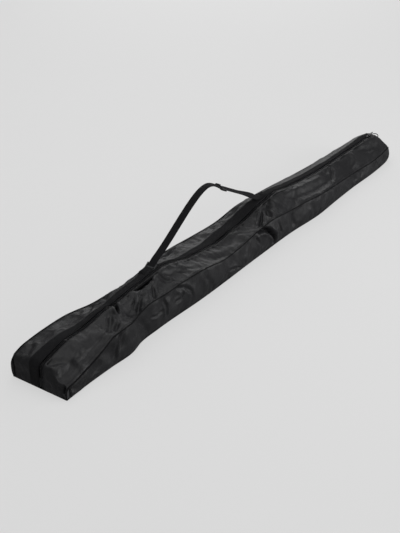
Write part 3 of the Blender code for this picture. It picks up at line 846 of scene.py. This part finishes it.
def stitch_mesh(start, end, up, radius):
    """Vertices and faces of one raised thread between two holes."""
    start, end, up = Vector(start), Vector(end), Vector(up)
    length = end - start
    side = length.cross(up).normalized()
    points = [start - up * radius]
    for share, size, rise in ((0.16, 0.8, 0.35), (0.5, 1.0, 0.8), (0.84, 0.8, 0.35)):
        middle = start + length * share + up * (radius * rise)
        for step in range(STITCH_SIDES):
            angle = 2 * math.pi * step / STITCH_SIDES
            points.append(middle + (side * math.cos(angle) + up * math.sin(angle)) * (radius * size))
    points.append(end - up * radius)
    first, second, third = (1 + ring * STITCH_SIDES for ring in range(3))
    faces = []
    for step in range(STITCH_SIDES):
        after = (step + 1) % STITCH_SIDES
        faces.append((0, first + after, first + step))
        faces.append((first + step, first + after, second + after, second + step))
        faces.append((second + step, second + after, third + after, third + step))
        faces.append((third + step, third + after, len(points) - 1))
    return points, faces


def stitches(name, lines, material, pitch=STITCH_PITCH, length=STITCH_LENGTH, radius=STITCH_RADIUS):
    """Rows of raised threads; each line is a path and the surface's normals along it."""
    points = []
    faces = []
    for path, normals in lines:
        run = run_along(path)
        for place in np.arange(0.5 * pitch, run[-1] - length, pitch):
            start = point_at(place, run, path)
            end = point_at(place + length, run, path)
            up = Vector(point_at(place, run, normals)).normalized()
            add_shape(points, faces, *stitch_mesh(start, end, up, radius))
    return mesh_object(name, points, faces, material)


def seam_line(surface, points, lift=0.0002):
    """A path laid on a surface, with the surface's smoothed normals."""
    path = []
    normals = []
    for point in points:
        place, normal = surface.find_nearest(Vector(point))[:2]
        path.append(tuple(place + normal * lift))
        normals.append(tuple(normal))
    return np.array(path), smoothed(np.array(normals), 3)


def seam_offset(word, inset):
    """y at a distance inside the outer seam, as a function of distance along the bag."""
    return lambda distance: float(seam_place(word, distance)[0] - SIDES[word] * inset)


def band_edge(share):
    """y across the storm band as a function of distance: share 0 at the zip, 1 at the outer edge."""
    return lambda distance: float(ZIP_Y + CHANNEL + share * along(BAND_WIDTH, distance))


def seam_stitches(word, roof, thread):
    """Rows of stitches inside a top panel's outer seam and along its zip."""
    rows = [seam_line(roof, lane(word, seam_offset(word, SEAM_STITCH_INSET)))]
    if word == "right":
        rows.append(seam_line(roof, lane(word, lambda distance: zip_edge(word) - HEM)))
    else:
        for share in (1.0 - HEM_SHARE, HEM_SHARE):
            rows.append(seam_line(roof, lane(word, band_edge(share)), BAND_THICKNESS + 0.0006))
    return stitches(f"stitches_{word}", rows, thread)


def storm_band(roof, material):
    """The flat band beside the zip, from the floor at the tail to the floor at the tip."""
    columns = 9
    lanes = []
    for column in range(columns):
        line = lane("left", band_edge(column / (columns - 1)))
        lanes.append(laid(roof, line, BAND_LIFT))
    grid = smoothed(np.stack(lanes, axis=1), 1)
    grid[:, 1:-1, 2] += BAND_LIFT
    band = grid_object("storm_band", grid, material, UP)
    thicken(band, BAND_THICKNESS, 1.0)
    return band


def zip_path(word, offset, drop):
    """A line of the zip along the whole bag, beside the zip's middle and under the ridge."""
    edge = lane(word, lambda distance: zip_edge(word), TOOTH_PITCH)
    normals = normals_along(edge)
    path = edge - normals * drop
    path[:, 1] = ZIP_Y + SIDES[word] * offset
    return path, normals


def zip_tape(word, material):
    middle = (COIL_OUTER + TAPE_OUTER) / 2 - 0.0005
    half = (TAPE_OUTER - COIL_OUTER) / 2 + 0.0005
    path, normals = zip_path(word, middle, TAPE_DROP)
    across = same(ACROSS, len(path))
    name = f"zip_tape_fine_{word}"
    return sweep(name, path, across, normals, half, TAPE_THICKNESS, material)


def zip_coil(word, material):
    """Coil of one side: a turn of monofilament for each tooth, in step with the other side's."""
    inner, normals = zip_path(word, COIL_INNER * 0.6, CHAIN_DROP)
    outer = zip_path(word, COIL_OUTER, CHAIN_DROP)[0]
    inner = resampled(inner, TOOTH_PITCH / 2)
    outer = resampled(outer, TOOTH_PITCH / 2)
    shares = np.linspace(0, 1, len(inner))
    ups = np.stack(point_at(shares, np.linspace(0, 1, len(normals)), normals), axis=1)
    points = []
    faces = []
    for row in range(0 if word == "left" else 1, min(len(inner), len(outer)) - 1, 2):
        up = Vector(ups[row]).normalized()
        add_shape(points, faces, *tooth_mesh(Vector(outer[row]), Vector(inner[row]), up))
    return mesh_object(f"zip_coil_{word}", points, faces, material)


def tooth_mesh(far, near, up):
    """One turn of the coil: over from the tape, round the tip, and back underneath."""
    reach = near - far
    tip = near - reach.normalized() * COIL_RADIUS
    path = [far + up * COIL_RADIUS]
    for angle in (60, 0, -60):
        turn = math.radians(angle)
        forward = reach.normalized() * (COIL_RADIUS * math.cos(turn))
        path.append(tip + forward + up * (COIL_RADIUS * math.sin(turn)))
    path.append(far - up * COIL_RADIUS)
    along_zip = reach.cross(up).normalized()
    last = len(path) - 1
    points = []
    for index, place in enumerate(path):
        onward = (path[min(index + 1, last)] - path[max(index - 1, 0)]).normalized()
        normal = onward.cross(along_zip)
        for step in range(THREAD_SIDES):
            angle = 2 * math.pi * step / THREAD_SIDES
            beside = along_zip * (1.5 * COIL_THREAD * math.cos(angle))
            points.append(place + beside + normal * (COIL_THREAD * math.sin(angle)))
    start = tuple(reversed(range(THREAD_SIDES)))
    end = tuple(range(last * THREAD_SIDES, len(points)))
    return points, [start, end, *grid_faces(len(path), THREAD_SIDES, True)]


def piping(word, material):
    """Covered cord in the seam, from the floor at the tail, over the corner and down at the tip."""
    outset = SIDES[word] * PIPING_OUTSET
    points = []
    for distance in np.linspace(TAIL_WALL, LENGTH, 480):
        y, z = seam_place(word, distance)
        points.append((TAIL_X + distance, y + outset, rounded_end(word, distance, z)))
    x, y, top = points[0]
    tail = [(x - 0.0004, y, z) for z in np.linspace(PIPING_FOOT, top, 12)[:-1]]
    x, y, top = points[-1]
    tip = [(x + 0.0004, y, z) for z in np.linspace(top, PIPING_FOOT, 12)[1:]]
    path = resampled(np.array(tail + points + tip), PIPING_STEP)
    return cord_along(f"piping_fine_{word}", smoothed(path), PIPING_RADIUS, material, sides=12)


def floor_cord(name, x, y, material):
    """Cord on the floor where a panel meets the bottom."""
    path = np.stack(np.broadcast_arrays(x, y, FLOOR_SEAM_RADIUS + 0.0001), axis=1)
    return cord_along(name, path, FLOOR_SEAM_RADIUS, material, sides=8)


def floor_seam(word, material):
    """Bound seam between a side panel and the bottom."""
    places = np.linspace(TAIL_WALL, LENGTH, 400)
    y = SIDES[word] * (floor_width(word, places) - FLOOR_TUCK)
    return floor_cord(f"floor_seam_{word}", TAIL_X + places, y, material)


def end_floor_seam(name, wall, material):
    """Bound seam along the bottom of an end wall."""
    right = -floor_width("right", wall) + FLOOR_TUCK
    left = floor_width("left", wall) - FLOOR_TUCK
    return floor_cord(name, TAIL_X + wall, np.linspace(right, left, 40), material)


# Carry strap

def bezier(p0, p1, p2, p3, steps):
    points = []
    for step in range(steps + 1):
        t = step / steps
        s = 1.0 - t
        points.append(p0 * s**3 + p1 * 3 * s * s * t + p2 * 3 * s * t * t + p3 * t**3)
    return points


def strap_path(roof):
    """The strap's middle line as frame points: sewn down, up over the arch, and sewn down again."""
    rise = bezier(
        STRAP_NEAR, STRAP_NEAR + Vector((0.078, 0.0335)),
        STRAP_APEX - Vector((0.0665, 0.0)), STRAP_APEX, 24,
    )
    crest = bezier(
        STRAP_APEX, STRAP_APEX + Vector((0.028, 0.0)),
        STRAP_BEND - Vector((0.020, -0.020 * FAR_SLOPE)), STRAP_BEND, 10,
    )
    lead = [Vector((0.488, STRAP_NEAR.y - (STRAP_NEAR.x - 0.488) * NEAR_SLOPE))]
    trail = [STRAP_FAR, Vector((1.056, STRAP_FAR.y - 0.016 * FAR_SLOPE))]
    arch = [(TAIL_X + p.x, STRAP_Y, p.y) for p in lead + rise + crest[1:] + trail]
    path = foot_points(roof, *NEAR_FOOT) + arch + foot_points(roof, *FAR_FOOT)
    return smoothed(resampled(np.array(path), 0.003), 5)


def foot_points(roof, start, end):
    """Points of a sewn end of the strap, just over the band."""
    made = []
    for x in TAIL_X + np.linspace(start, end, 10):
        made.append((x, STRAP_Y, height_under(roof, x, STRAP_Y) + SEWN_HEIGHT))
    return made


def strap_frames(path):
    """Directions across the strap and out of it, turned by its bank."""
    normals = normals_along(path)
    across = same(ACROSS, len(path))
    places = [place for place, angle in BANK]
    angles = [math.radians(angle) for place, angle in BANK]
    bank = smoothed(np.interp(path[:, 0] - TAIL_X, places, angles)[:, None], 8)
    turned = across * np.cos(bank) + normals * np.sin(bank)
    return turned, normals * np.cos(bank) - across * np.sin(bank)


def carry_strap(path, material):
    across, normals = strap_frames(path)
    middle = path - normals * STRAP_THICKNESS
    strap = sweep(
        "strap_webbing", middle, across, normals, STRAP_HALF_WIDTH, STRAP_THICKNESS, material
    )
    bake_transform(strap)
    distance = coordinates(strap)[:, 0] - TAIL_X
    return strap


def foot_patch(name, roof, span, material):
    """Reinforcing patch on the band under the strap's end."""
    rows = np.linspace(TAIL_X + span[0] - SEWN_MARGIN, TAIL_X + span[1] - SEWN_MARGIN, 14)
    half = STRAP_HALF_WIDTH + PATCH_MARGIN
    columns = np.linspace(STRAP_Y - half, STRAP_Y + half, 9)
    grid = np.array([[(x, y, height_under(roof, x, y) + PATCH_HEIGHT) for y in columns] for x in rows])
    patch = grid_object(name, grid, material, UP)
    thicken(patch, PATCH_THICKNESS, 1.0)
    return patch


def foot_stitches(name, path, span, material):
    """Box with a cross in it, sewn through the strap's end, and a bar tack at its edge."""
    x = path[:, 0] - TAIL_X
    inside = (x > span[0] + SEWN_MARGIN) & (x < span[1] - SEWN_MARGIN)
    spine = path[inside] + np.array((0.0, 0.0, 0.0001))
    half = STRAP_HALF_WIDTH - 0.0025
    low, high = spine[0], spine[-1]

    def beside(point, y):
        return point + np.array((0.0, y, 0.0))

    rows = [beside(spine, -half), beside(spine, half)]
    for start, end in (
        (beside(low, -half), beside(low, half)), (beside(high, -half), beside(high, half)),
        (beside(low, -half), beside(high, half)), (beside(low, half), beside(high, -half)),
    ):
        straight = start + (end - start) * np.linspace(0.0, 1.0, 12)[:, None]
        straight[:, 2] = np.interp(straight[:, 0], spine[:, 0], spine[:, 2])
        rows.append(straight)
    for shift in np.linspace(0.0, 0.0024, 4):
        x = low[0] + SEWN_MARGIN + shift
        rows.append(np.array([(x, low[1] + y, low[2]) for y in np.linspace(-half, half, 8)]))
    lines = [(row, same(UP, len(row))) for row in rows]
    return stitches(name, lines, material, **SEWN_STITCHES, radius=0.00035)


# Hard pieces

def moved(shape, place):
    """The bmesh shifted by a place."""
    bmesh.ops.translate(shape, vec=Vector(place), verts=shape.verts)
    return shape


def rounded_box(size, centre, rounding, segments=3):
    """A box with rounded edges as a bmesh, sizes and centre in the piece's own frame."""
    mesh = bmesh.new()
    bmesh.ops.create_cube(mesh, size=1.0)
    bmesh.ops.scale(mesh, vec=Vector(size), verts=mesh.verts)
    moved(mesh, centre)
    bmesh.ops.bevel(
        mesh, geom=mesh.edges[:], offset=rounding, segments=segments, profile=0.6, affect="EDGES"
    )
    return mesh


def assembled(name, shapes, material, matrix=Matrix.Identity(4)):
    """One piece from several closed shapes, placed by a matrix."""
    mesh = bpy.data.meshes.new(name)
    whole = bmesh.new()
    for shape in shapes:
        part = bpy.data.meshes.new("part")
        shape.to_mesh(part)
        whole.from_mesh(part)
        shape.free()
        bpy.data.meshes.remove(part)
    bmesh.ops.recalc_face_normals(whole, faces=whole.faces)
    whole.transform(matrix)
    whole.to_mesh(mesh)
    whole.free()
    mesh.polygons.foreach_set("use_smooth", [True] * len(mesh.polygons))
    mesh.set_sharp_from_angle(angle=math.radians(50))
    mesh.materials.append(material)
    return added(name, mesh)


def fitted(piece, slot, body, *nodes):
    """Attaches the piece to the body that it rides on and hides the CAD nodes that it stands for. The
    finish, slot, is not used.
    """
    if nodes:
        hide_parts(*nodes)
    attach(piece, body)


def buckle_shapes():
    """Ladder of rounded rails and bars about its own centre, with ribbed grips on its cross bar."""
    inner = STRAP_HALF_WIDTH + 0.0006
    width = 2 * inner + 0.0012
    shapes = []
    for side in (-1, 1):
        place = side * (inner + BUCKLE_RAIL / 2)
        shapes.append(rounded_box((0.0284, BUCKLE_RAIL, 0.0058), (0.0, place, 0.0), 0.0010))
    for place, height in ((-0.0124, -0.0024), (0.0, 0.0024), (0.0124, -0.0024)):
        shapes.append(rounded_box((0.0044, width, 0.0022), (place, 0.0, height), 0.0008))
    for rib in (-0.0014, 0.0, 0.0014):
        shapes.append(rounded_box((0.0006, width - 0.004, 0.0005), (rib, 0.0, 0.0034), 0.0002, 2))
    return shapes


def buckle(name, node, body, slope, material, bank=0.0):
    """A fine buckle in the place and at the tilt of its CAD node, banked as the strap is there."""
    low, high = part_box(node)
    turn = Matrix.Rotation(math.atan(slope), 4, "Y") @ Matrix.Rotation(math.radians(bank), 4, "X")
    place = Matrix.Translation((low + high) / 2) @ turn
    fitted(assembled(name, buckle_shapes(), material, place), "acetal", body, node)


def outline_plate(outlines, thickness, rounding):
    """A plate with rounded edges from closed outlines, the first outside and the others holes."""
    curve = bpy.data.curves.new("plate", "CURVE")
    curve.dimensions = "2D"
    curve.fill_mode = "BOTH"
    curve.extrude = thickness / 2 - rounding
    curve.bevel_depth = rounding
    curve.bevel_resolution = 2
    curve.offset = -rounding
    for outline in outlines:
        spline = curve.splines.new("POLY")
        spline.points.add(len(outline) - 1)
        for point, (x, y) in zip(spline.points, outline):
            point.co = (x, y, 0.0, 1.0)
        spline.use_cyclic_u = True
    source = added("plate", curve)
    graph = bpy.context.evaluated_depsgraph_get()
    mesh = bpy.data.meshes.new_from_object(source.evaluated_get(graph))
    bpy.data.objects.remove(source)
    made = bmesh.new()
    made.from_mesh(mesh)
    bmesh.ops.remove_doubles(made, verts=made.verts, dist=0.00001)
    return made


def rounded_outline(x0, x1, half_near, half_far, corner):
    """Corners of a tapered tab, rounded by arcs."""
    points = []
    for (x, y), start in (
        ((x0 + corner, -half_near + corner), 180), ((x1 - corner, -half_far + corner), 270),
        ((x1 - corner, half_far - corner), 0), ((x0 + corner, half_near - corner), 90),
    ):
        for step in range(6):
            angle = math.radians(start + 18 * step)
            points.append((x + corner * math.cos(angle), y + corner * math.sin(angle)))
    return points


def zip_slider(material):
    """Slider body: shield-shaped top and bottom plates, and the bridge that holds the pull."""
    low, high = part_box("zip_slider")
    chain_low, chain_high = CHAIN_LEFT[0].z, CHAIN_LEFT[1].z
    middle_x = (low.x + high.x) / 2
    half = (high.x - low.x) / 2
    shapes = []
    for level in (chain_high + 0.0015, chain_low - 0.0015):
        outline = rounded_outline(-half, half, 0.0046, 0.0055, 0.0022)
        plate = outline_plate([outline], 0.0014, 0.0004)
        shapes.append(moved(plate, (middle_x, ZIP_Y, level)))
    pin_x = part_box("zip_pull")[0].x + 0.0008
    bridge_top = high.z
    foot = chain_high + 0.0020
    post = (0.0018, 0.0022, bridge_top - foot)
    for place in (-0.0040, 0.0040):
        shapes.append(rounded_box(post, (pin_x + place, ZIP_Y, (bridge_top + foot) / 2), 0.0005))
    bar = (0.0098, 0.0022, 0.0011)
    shapes.append(rounded_box(bar, (pin_x, ZIP_Y, bridge_top - 0.00055), 0.0004))
    fitted(assembled("slider_body", shapes, material), "black_zinc", "slider", "zip_slider")


def zip_pull(material):
    """Pull tab with a window for the bridge and a hole for the cord."""
    low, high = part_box("zip_pull")
    length = high.x - low.x
    window = rounded_outline(0.0016, 0.0070, 0.0026, 0.0026, 0.0008)[::-1]
    hole = rounded_outline(length - 0.0062, length - 0.0030, 0.0018, 0.0018, 0.0012)[::-1]
    outside = rounded_outline(0.0, length, 0.0040, 0.0034, 0.0018)
    tab = outline_plate([outside, window, hole], 0.0016, 0.0004)
    moved(tab, (low.x, ZIP_Y, (low.z + high.z) / 2))
    fitted(assembled("pull_tab", [tab], material), "black_zinc", "pull", "zip_pull")


def zip_pull_cord(material):
    """Twisted cord ring through the pull's hole."""
    low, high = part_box("zip_pull_cord")
    bend = (high.z - low.z) / 2 - PULL_CORD_RADIUS
    middle_z = (low.z + high.z) / 2
    near = low.x + PULL_CORD_RADIUS + bend
    far = high.x - PULL_CORD_RADIUS - bend
    points = []
    for centre, start in ((near, 90), (far, 270)):
        for step in range(14):
            angle = math.radians(start + 180 * step / 13)
            points.append((centre + bend * math.cos(angle), ZIP_Y, middle_z + bend * math.sin(angle)))
    path = resampled(np.array(points + points[:1]), 0.0006)[:-1]
    ring = cord_along(
        "pull_cord_ring", path, PULL_CORD_RADIUS, material, sides=12, lay=0.004, closed=True
    )
    fitted(ring, "webbing", "pull", "zip_pull_cord")


def tip_loop(material):
    """Twisted cord loop sewn into the tip's rounded edge."""
    low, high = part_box("tip_pull_loop")
    half = (high.y - low.y) / 2 - LOOP_RADIUS
    tilt = math.radians(LOOP_TILT)
    outward = Vector((math.cos(tilt), 0.0, math.sin(tilt)))
    top = Vector((high.x - LOOP_RADIUS, (low.y + high.y) / 2, high.z - LOOP_RADIUS))
    reach = (high.x - LOOP_RADIUS - (low.x + 0.0008)) / outward.x
    points = []
    for step in range(25):
        angle = math.pi * step / 24
        across = Vector((0.0, -half * math.cos(angle), 0.0))
        points.append(top - outward * (reach * (1.0 - math.sin(angle))) + across)
    sunk = outward * 0.004
    points = [points[0] - sunk] + points + [points[-1] - sunk]
    path = resampled(np.array(points), 0.0007)
    loop = cord_along("tip_cord_loop", path, LOOP_RADIUS, material, sides=14, lay=0.006)
    fitted(loop, "webbing", "bag", "tip_pull_loop")


def zip_stops(material):
    """Moulded stops at the two ends of the zip's opening."""
    for end, distance in ZIP_STOPS.items():
        level = float(ridge_height(distance)) - CHAIN_DROP
        box = rounded_box((0.0055, 0.0086, 0.0034), (TAIL_X + distance, ZIP_Y, level), 0.0008)
        stop = assembled(f"zip_stop_{end}", [box], material)
        fitted(stop, "zip_nylon", "bag", f"zip_end_{end}")


# Pieces inside the bag

def tail_pad(material):
    """Foam pad in the tail, slightly crowned."""
    low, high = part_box("tail_pad")
    size = high - low
    middle = (low + high) / 2
    shape = rounded_box(size, middle, 0.0022)
    long_edges = [edge for edge in shape.edges if edge.calc_length() > 0.02]
    bmesh.ops.subdivide_edges(shape, edges=long_edges, cuts=12, use_grid_fill=True)
    piece = assembled("tail_pad_foam", [shape], material)
    points = coordinates(piece)
    crown = (1.0 - ((points[:, 1] - middle.y) / (size.y / 2)) ** 2).clip(0)
    crown *= (1.0 - ((points[:, 2] - middle.z) / (size.z / 2)) ** 2).clip(0)
    inward = points[:, 0] > middle.x
    points[:, 0] += inward * crown * 0.0025
    set_coordinates(piece, points)
    fitted(piece, "foam", "bag", "tail_pad")


def inner_tie(end, material, thread):
    """Webbing sewn across the bottom, with bar tacks at its ends and its middle."""
    node = f"inner_tie_{end}"
    low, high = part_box(node)
    middle_x = (low.x + high.x) / 2
    half = (high.x - low.x) / 2
    count = 60
    ripple = 0.6 + 0.4 * np.cos(np.linspace(0, 9, count))
    wave = 0.0009 * (1 - np.abs(np.linspace(-1, 1, count)) ** 6) * ripple
    ys = np.linspace(low.y, high.y, count)
    path = np.stack([np.full(count, middle_x), ys, low.z + wave], axis=1)
    across = same((1.0, 0.0, 0.0), count)
    name = f"tie_{end}"
    tie = sweep(name, path, across, same(UP, count), half, high.z - low.z, material)
    fitted(tie, "webbing", "bag", node)
    lines = []
    for y in (low.y + 0.006, low.y + 0.008, -0.004, 0.004, high.y - 0.008, high.y - 0.006):
        xs = np.linspace(middle_x - half + 0.002, middle_x + half - 0.002, 6)
        lines.append((np.array([(x, y, high.z + 0.0008) for x in xs]), same(UP, 6)))
    tacks = stitches(f"{name}_tacks", lines, thread, **SEWN_STITCHES)
    fitted(tacks, "webbing", "bag")


# Materials

class Shader:
    """A Principled material under construction, with short calls for its nodes.

    An input is given by its name, with an underscore for each space, as a number or as a socket.
    """

    def __init__(self, name, colour, roughness, **inputs):
        self.material = bpy.data.materials.new(name)
        self.material.use_nodes = True
        self.nodes = self.material.node_tree.nodes
        self.surface = self.nodes["Principled BSDF"]
        self.fill(self.surface, Base_Color=(*colour, 1.0), Roughness=roughness, **inputs)

    def fill(self, node, **inputs):
        for name, value in inputs.items():
            socket = node.inputs[name.replace("_", " ")]
            if isinstance(value, bpy.types.NodeSocket):
                self.material.node_tree.links.new(value, socket)
            else:
                socket.default_value = value
        return node

    def node(self, kind, **inputs):
        return self.fill(self.nodes.new(kind), **inputs)

    def lengths(self):
        """Lengths along and across the piece's grid."""
        return self.node("ShaderNodeUVMap").outputs["UV"]

    def space(self):
        return self.node("ShaderNodeTexCoord").outputs["Object"]

    def noise(self, place, scale, detail=4.0, roughness=0.55):
        made = self.node("ShaderNodeTexNoise", Scale=scale, Detail=detail, Roughness=roughness)
        return self.fill(made, Vector=place).outputs["Fac"]

    def bands(self, place, direction, scale):
        made = self.node("ShaderNodeTexWave", Vector=place, Scale=scale)
        made.bands_direction = direction
        return made.outputs["Fac"]

    def weave(self, pitch):
        """Height of a plain weave with threads a pitch apart."""
        scale = 2 * math.pi / (WAVE_PHASE * pitch)
        lengths = self.lengths()
        made = self.nodes.new("ShaderNodeMath")
        made.operation = "MULTIPLY"
        for socket, direction in zip(made.inputs, "XY"):
            self.material.node_tree.links.new(self.bands(lengths, direction, scale), socket)
        return made.outputs[0]

    def spread(self, value, low, high):
        """A noise value's middle range brought to a range from low to high."""
        made = self.node("ShaderNodeMapRange", Value=value, From_Min=0.3, From_Max=0.7)
        return self.fill(made, To_Min=low, To_Max=high).outputs["Result"]

    def tint(self, value, dark, light):
        made = self.nodes.new("ShaderNodeMix")
        made.data_type = "RGBA"
        self.fill(made, Factor=value, A=(*dark, 1.0), B=(*light, 1.0))
        self.fill(self.surface, Base_Color=made.outputs["Result"])

    def wear(self, value, colour, gain, low, high):
        """Colour up to gain times as light, and roughness from low to high, by a noise value."""
        self.tint(self.spread(value, 0.0, 1.0), colour, tuple(part * gain for part in colour))
        self.fill(self.surface, Roughness=self.spread(value, low, high))

    def bump(self, *layers):
        """Stacked bumps of (height, depth in metres)."""
        made = None
        for height, depth in layers:
            under = {} if made is None else {"Normal": made.outputs["Normal"]}
            made = self.node("ShaderNodeBump", Strength=1.0, Distance=depth, Height=height, **under)
        self.fill(self.surface, Normal=made.outputs["Normal"])


def coated_fabric(name, colour, roughness):
    """Tightly woven black polyester with a coating: fine threads, crushed creases, uneven gloss."""
    shader = Shader(name, colour, roughness, Specular_IOR_Level=0.26)
    space = shader.space()
    patches = shader.noise(space, 9.0, 3.0)
    crush = shader.noise(space, 38.0, 5.0, 0.5)
    fine = shader.noise(space, 140.0, 3.0, 0.5)
    shader.wear(patches, colour, 1.35, roughness - 0.05, roughness + 0.07)
    shader.bump((crush, 0.0022), (fine, 0.0004), (shader.weave(0.0011), 0.00010))
    return shader.material


def webbing(name, colour, rib):
    """Woven webbing: ribs across it, threads along it, matte."""
    shader = Shader(name, colour, 0.85, Specular_IOR_Level=0.12)
    space = shader.space()
    shader.wear(shader.noise(space, 45.0, 4.0), colour, 1.5, 0.78, 0.92)
    shader.bump((shader.weave(rib), 0.00035), (shader.noise(space, 900.0, 2.0), 0.0001))
    return shader.material


def moulded(name, colour, roughness, metallic=0.0):
    """Moulded or cast surface: fine grain and slightly worn gloss."""
    shader = Shader(name, colour, roughness, Metallic=metallic, Specular_IOR_Level=0.35)
    space = shader.space()
    wear = shader.noise(space, 120.0, 4.0)
    shader.wear(wear, colour, 1.6, roughness - 0.07, roughness + 0.1)
    shader.bump((shader.noise(space, 1500.0, 3.0), 0.00008))
    return shader.material


def foam_material():
    shader = Shader("foam_cells", (0.045, 0.045, 0.047), 0.95)
    space = shader.space()
    cells = shader.node("ShaderNodeTexVoronoi", Vector=space, Scale=900.0)
    shader.tint(shader.noise(space, 60.0), (0.035, 0.035, 0.037), (0.06, 0.06, 0.063))
    shader.bump((cells.outputs["Distance"], 0.0003))
    return shader.material


# Camera, lights and floor

def aimed(made, direction):
    """Turns a camera or a light to look along a direction."""
    made.rotation_mode = "QUATERNION"
    made.rotation_quaternion = direction.to_track_quat("-Z", "Y")


def camera():
    azimuth, elevation = math.radians(CAMERA_AZIMUTH), math.radians(CAMERA_ELEVATION)
    data = bpy.data.cameras.new("camera")
    data.sensor_width = 36.0
    data.lens = CAMERA_LENS
    data.clip_end = 60.0
    made = added("camera", data)
    made.location = CAMERA_PLACE
    back = Vector((
        math.sin(azimuth) * math.cos(elevation),
        -math.cos(azimuth) * math.cos(elevation),
        math.sin(elevation),
    ))
    aimed(made, -back)
    bpy.context.scene.camera = made


def area_light(name, place, target, size, power):
    data = bpy.data.lights.new(name, "AREA")
    data.shape = "RECTANGLE"
    data.size, data.size_y = size
    data.energy = power
    made = added(name, data)
    made.location = place
    aimed(made, Vector(target) - Vector(place))


def studio():
    world = bpy.data.worlds.new("studio")
    world.use_nodes = True
    background = world.node_tree.nodes["Background"]
    background.inputs["Color"].default_value = (0.62, 0.62, 0.62, 1.0)
    background.inputs["Strength"].default_value = 0.24
    bpy.context.scene.world = world
    bpy.context.scene.view_settings.view_transform = "Standard"
    area_light("sky", (-0.3, 0.2, 3.0), (0.0, 0.0, 0.0), (5.0, 3.4), 74.0)
    area_light("back", (3.2, 2.2, 1.3), (0.1, 0.0, 0.05), (3.0, 1.6), 29.0)
    area_light("front", (1.4, -2.7, 0.8), (0.0, 0.0, 0.05), (3.0, 1.3), 60.0)


def floor():
    """Pale seamless floor that glows a little, so that the bag's shadow on it stays faint."""
    shader = Shader(
        "pale_floor", (0.17, 0.17, 0.17), 0.9,
        Emission_Color=(1.0, 1.0, 1.0, 1.0), Emission_Strength=FLOOR_GLOW,
    )
    spots = shader.noise(shader.space(), 2.0)
    shader.tint(spots, (0.168, 0.168, 0.168), (0.172, 0.172, 0.172))
    bpy.ops.mesh.primitive_plane_add(size=60.0, location=(0.0, 0.0, -0.0002))
    plane = bpy.context.object
    plane.name = "floor"
    plane.data.materials.append(shader.material)
    plane.visible_glossy = False


# Pieces on the flaps, baked in place


def open_with(piece):
    """Bakes the piece's placement into its mesh."""
    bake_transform(piece)
    points = coordinates(piece)


def fitted_flap(piece, slot, word, *nodes):
    """Hides the CAD nodes that the piece stands for and bakes its placement into its mesh."""
    if nodes:
        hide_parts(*nodes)
    open_with(piece)


camera()
studio()
floor()
FABRIC = coated_fabric("coated_fabric", (0.0115, 0.0115, 0.0125), 0.45)
LINING = coated_fabric("lining", (0.030, 0.030, 0.032), 0.62)
WEBBING = webbing("matte_webbing", (0.008, 0.008, 0.0088), 0.0016)
PIPING = webbing("piping_cloth", (0.006, 0.006, 0.0065), 0.0009)
ZIP_TAPE = webbing("zip_tape", (0.0045, 0.0045, 0.005), 0.0009)
COIL = moulded("zip_coil", (0.010, 0.010, 0.011), 0.35)
THREAD = webbing("thread", (0.010, 0.010, 0.011), 0.0006)
ACETAL = moulded("acetal", (0.016, 0.016, 0.017), 0.38)
ZINC = moulded("black_zinc", (0.020, 0.020, 0.022), 0.30, 0.9)
FOAM = foam_material()

ROOFS = {word: top_skin(word, FABRIC) for word in SIDES}
ROOF = surface_of(*ROOFS.values())

for word, top in ROOFS.items():
    fitted_flap(seam_stitches(word, ROOF, THREAD), "webbing", word)
    thicken_lined(top)
    nodes = (f"tail_panel_{word}", f"top_panel_{word}", f"tip_panel_{word}")
    fitted_flap(top, "coated_fabric", word, *nodes)
    side = side_skin(word, FABRIC)
    thicken_lined(side)
    fitted(side, "coated_fabric", "bag", f"side_panel_{word}", f"tip_side_{word}")
    fitted(piping(word, PIPING), "webbing", "bag", f"piping_{word}")
    fitted(floor_seam(word, PIPING), "webbing", "bag")
    fitted_flap(zip_tape(word, ZIP_TAPE), "zip_nylon", word, f"zip_tape_{word}")
    nodes = (f"zip_chain_{word}", "tail_zip_band", "tip_garage")
    fitted_flap(zip_coil(word, COIL), "zip_nylon", word, *nodes)

fitted(bottom_skin(FABRIC), "coated_fabric", "bag", "bottom_panel")
fitted(end_floor_seam("floor_seam_tail", TAIL_WALL, PIPING), "webbing", "bag")
fitted(end_floor_seam("floor_seam_tip", LENGTH, PIPING), "webbing", "bag")
fitted_flap(storm_band(ROOF, WEBBING), "webbing", "left", "storm_flap", "tail_flap")

STRAP_LINE = strap_path(ROOF)
strap = carry_strap(STRAP_LINE, WEBBING)
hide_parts("carry_strap", "strap_foot_near", "strap_foot_far")
for end, span in (("near", NEAR_FOOT), ("far", FAR_FOOT)):
    patch = foot_patch(f"anchor_patch_fine_{end}", ROOF, span, WEBBING)
    fitted(patch, "webbing", "left_flap", f"anchor_patch_{end}")
    tacks = foot_stitches(f"strap_stitches_{end}", STRAP_LINE, span, THREAD)
    fitted(tacks, "webbing", "left_flap")
buckle("ladder_lock_fine", "ladder_lock", "left_flap", -NEAR_SLOPE, ACETAL)
buckle("adjuster_fine", "strap_adjuster", "adjuster", FAR_SLOPE, ACETAL, ADJUSTER_BANK)
zip_slider(ZINC)
zip_pull(ZINC)
zip_pull_cord(WEBBING)
zip_stops(COIL)
tip_loop(WEBBING)
tail_pad(FOAM)
inner_tie("rear", WEBBING, THREAD)
inner_tie("front", WEBBING, THREAD)
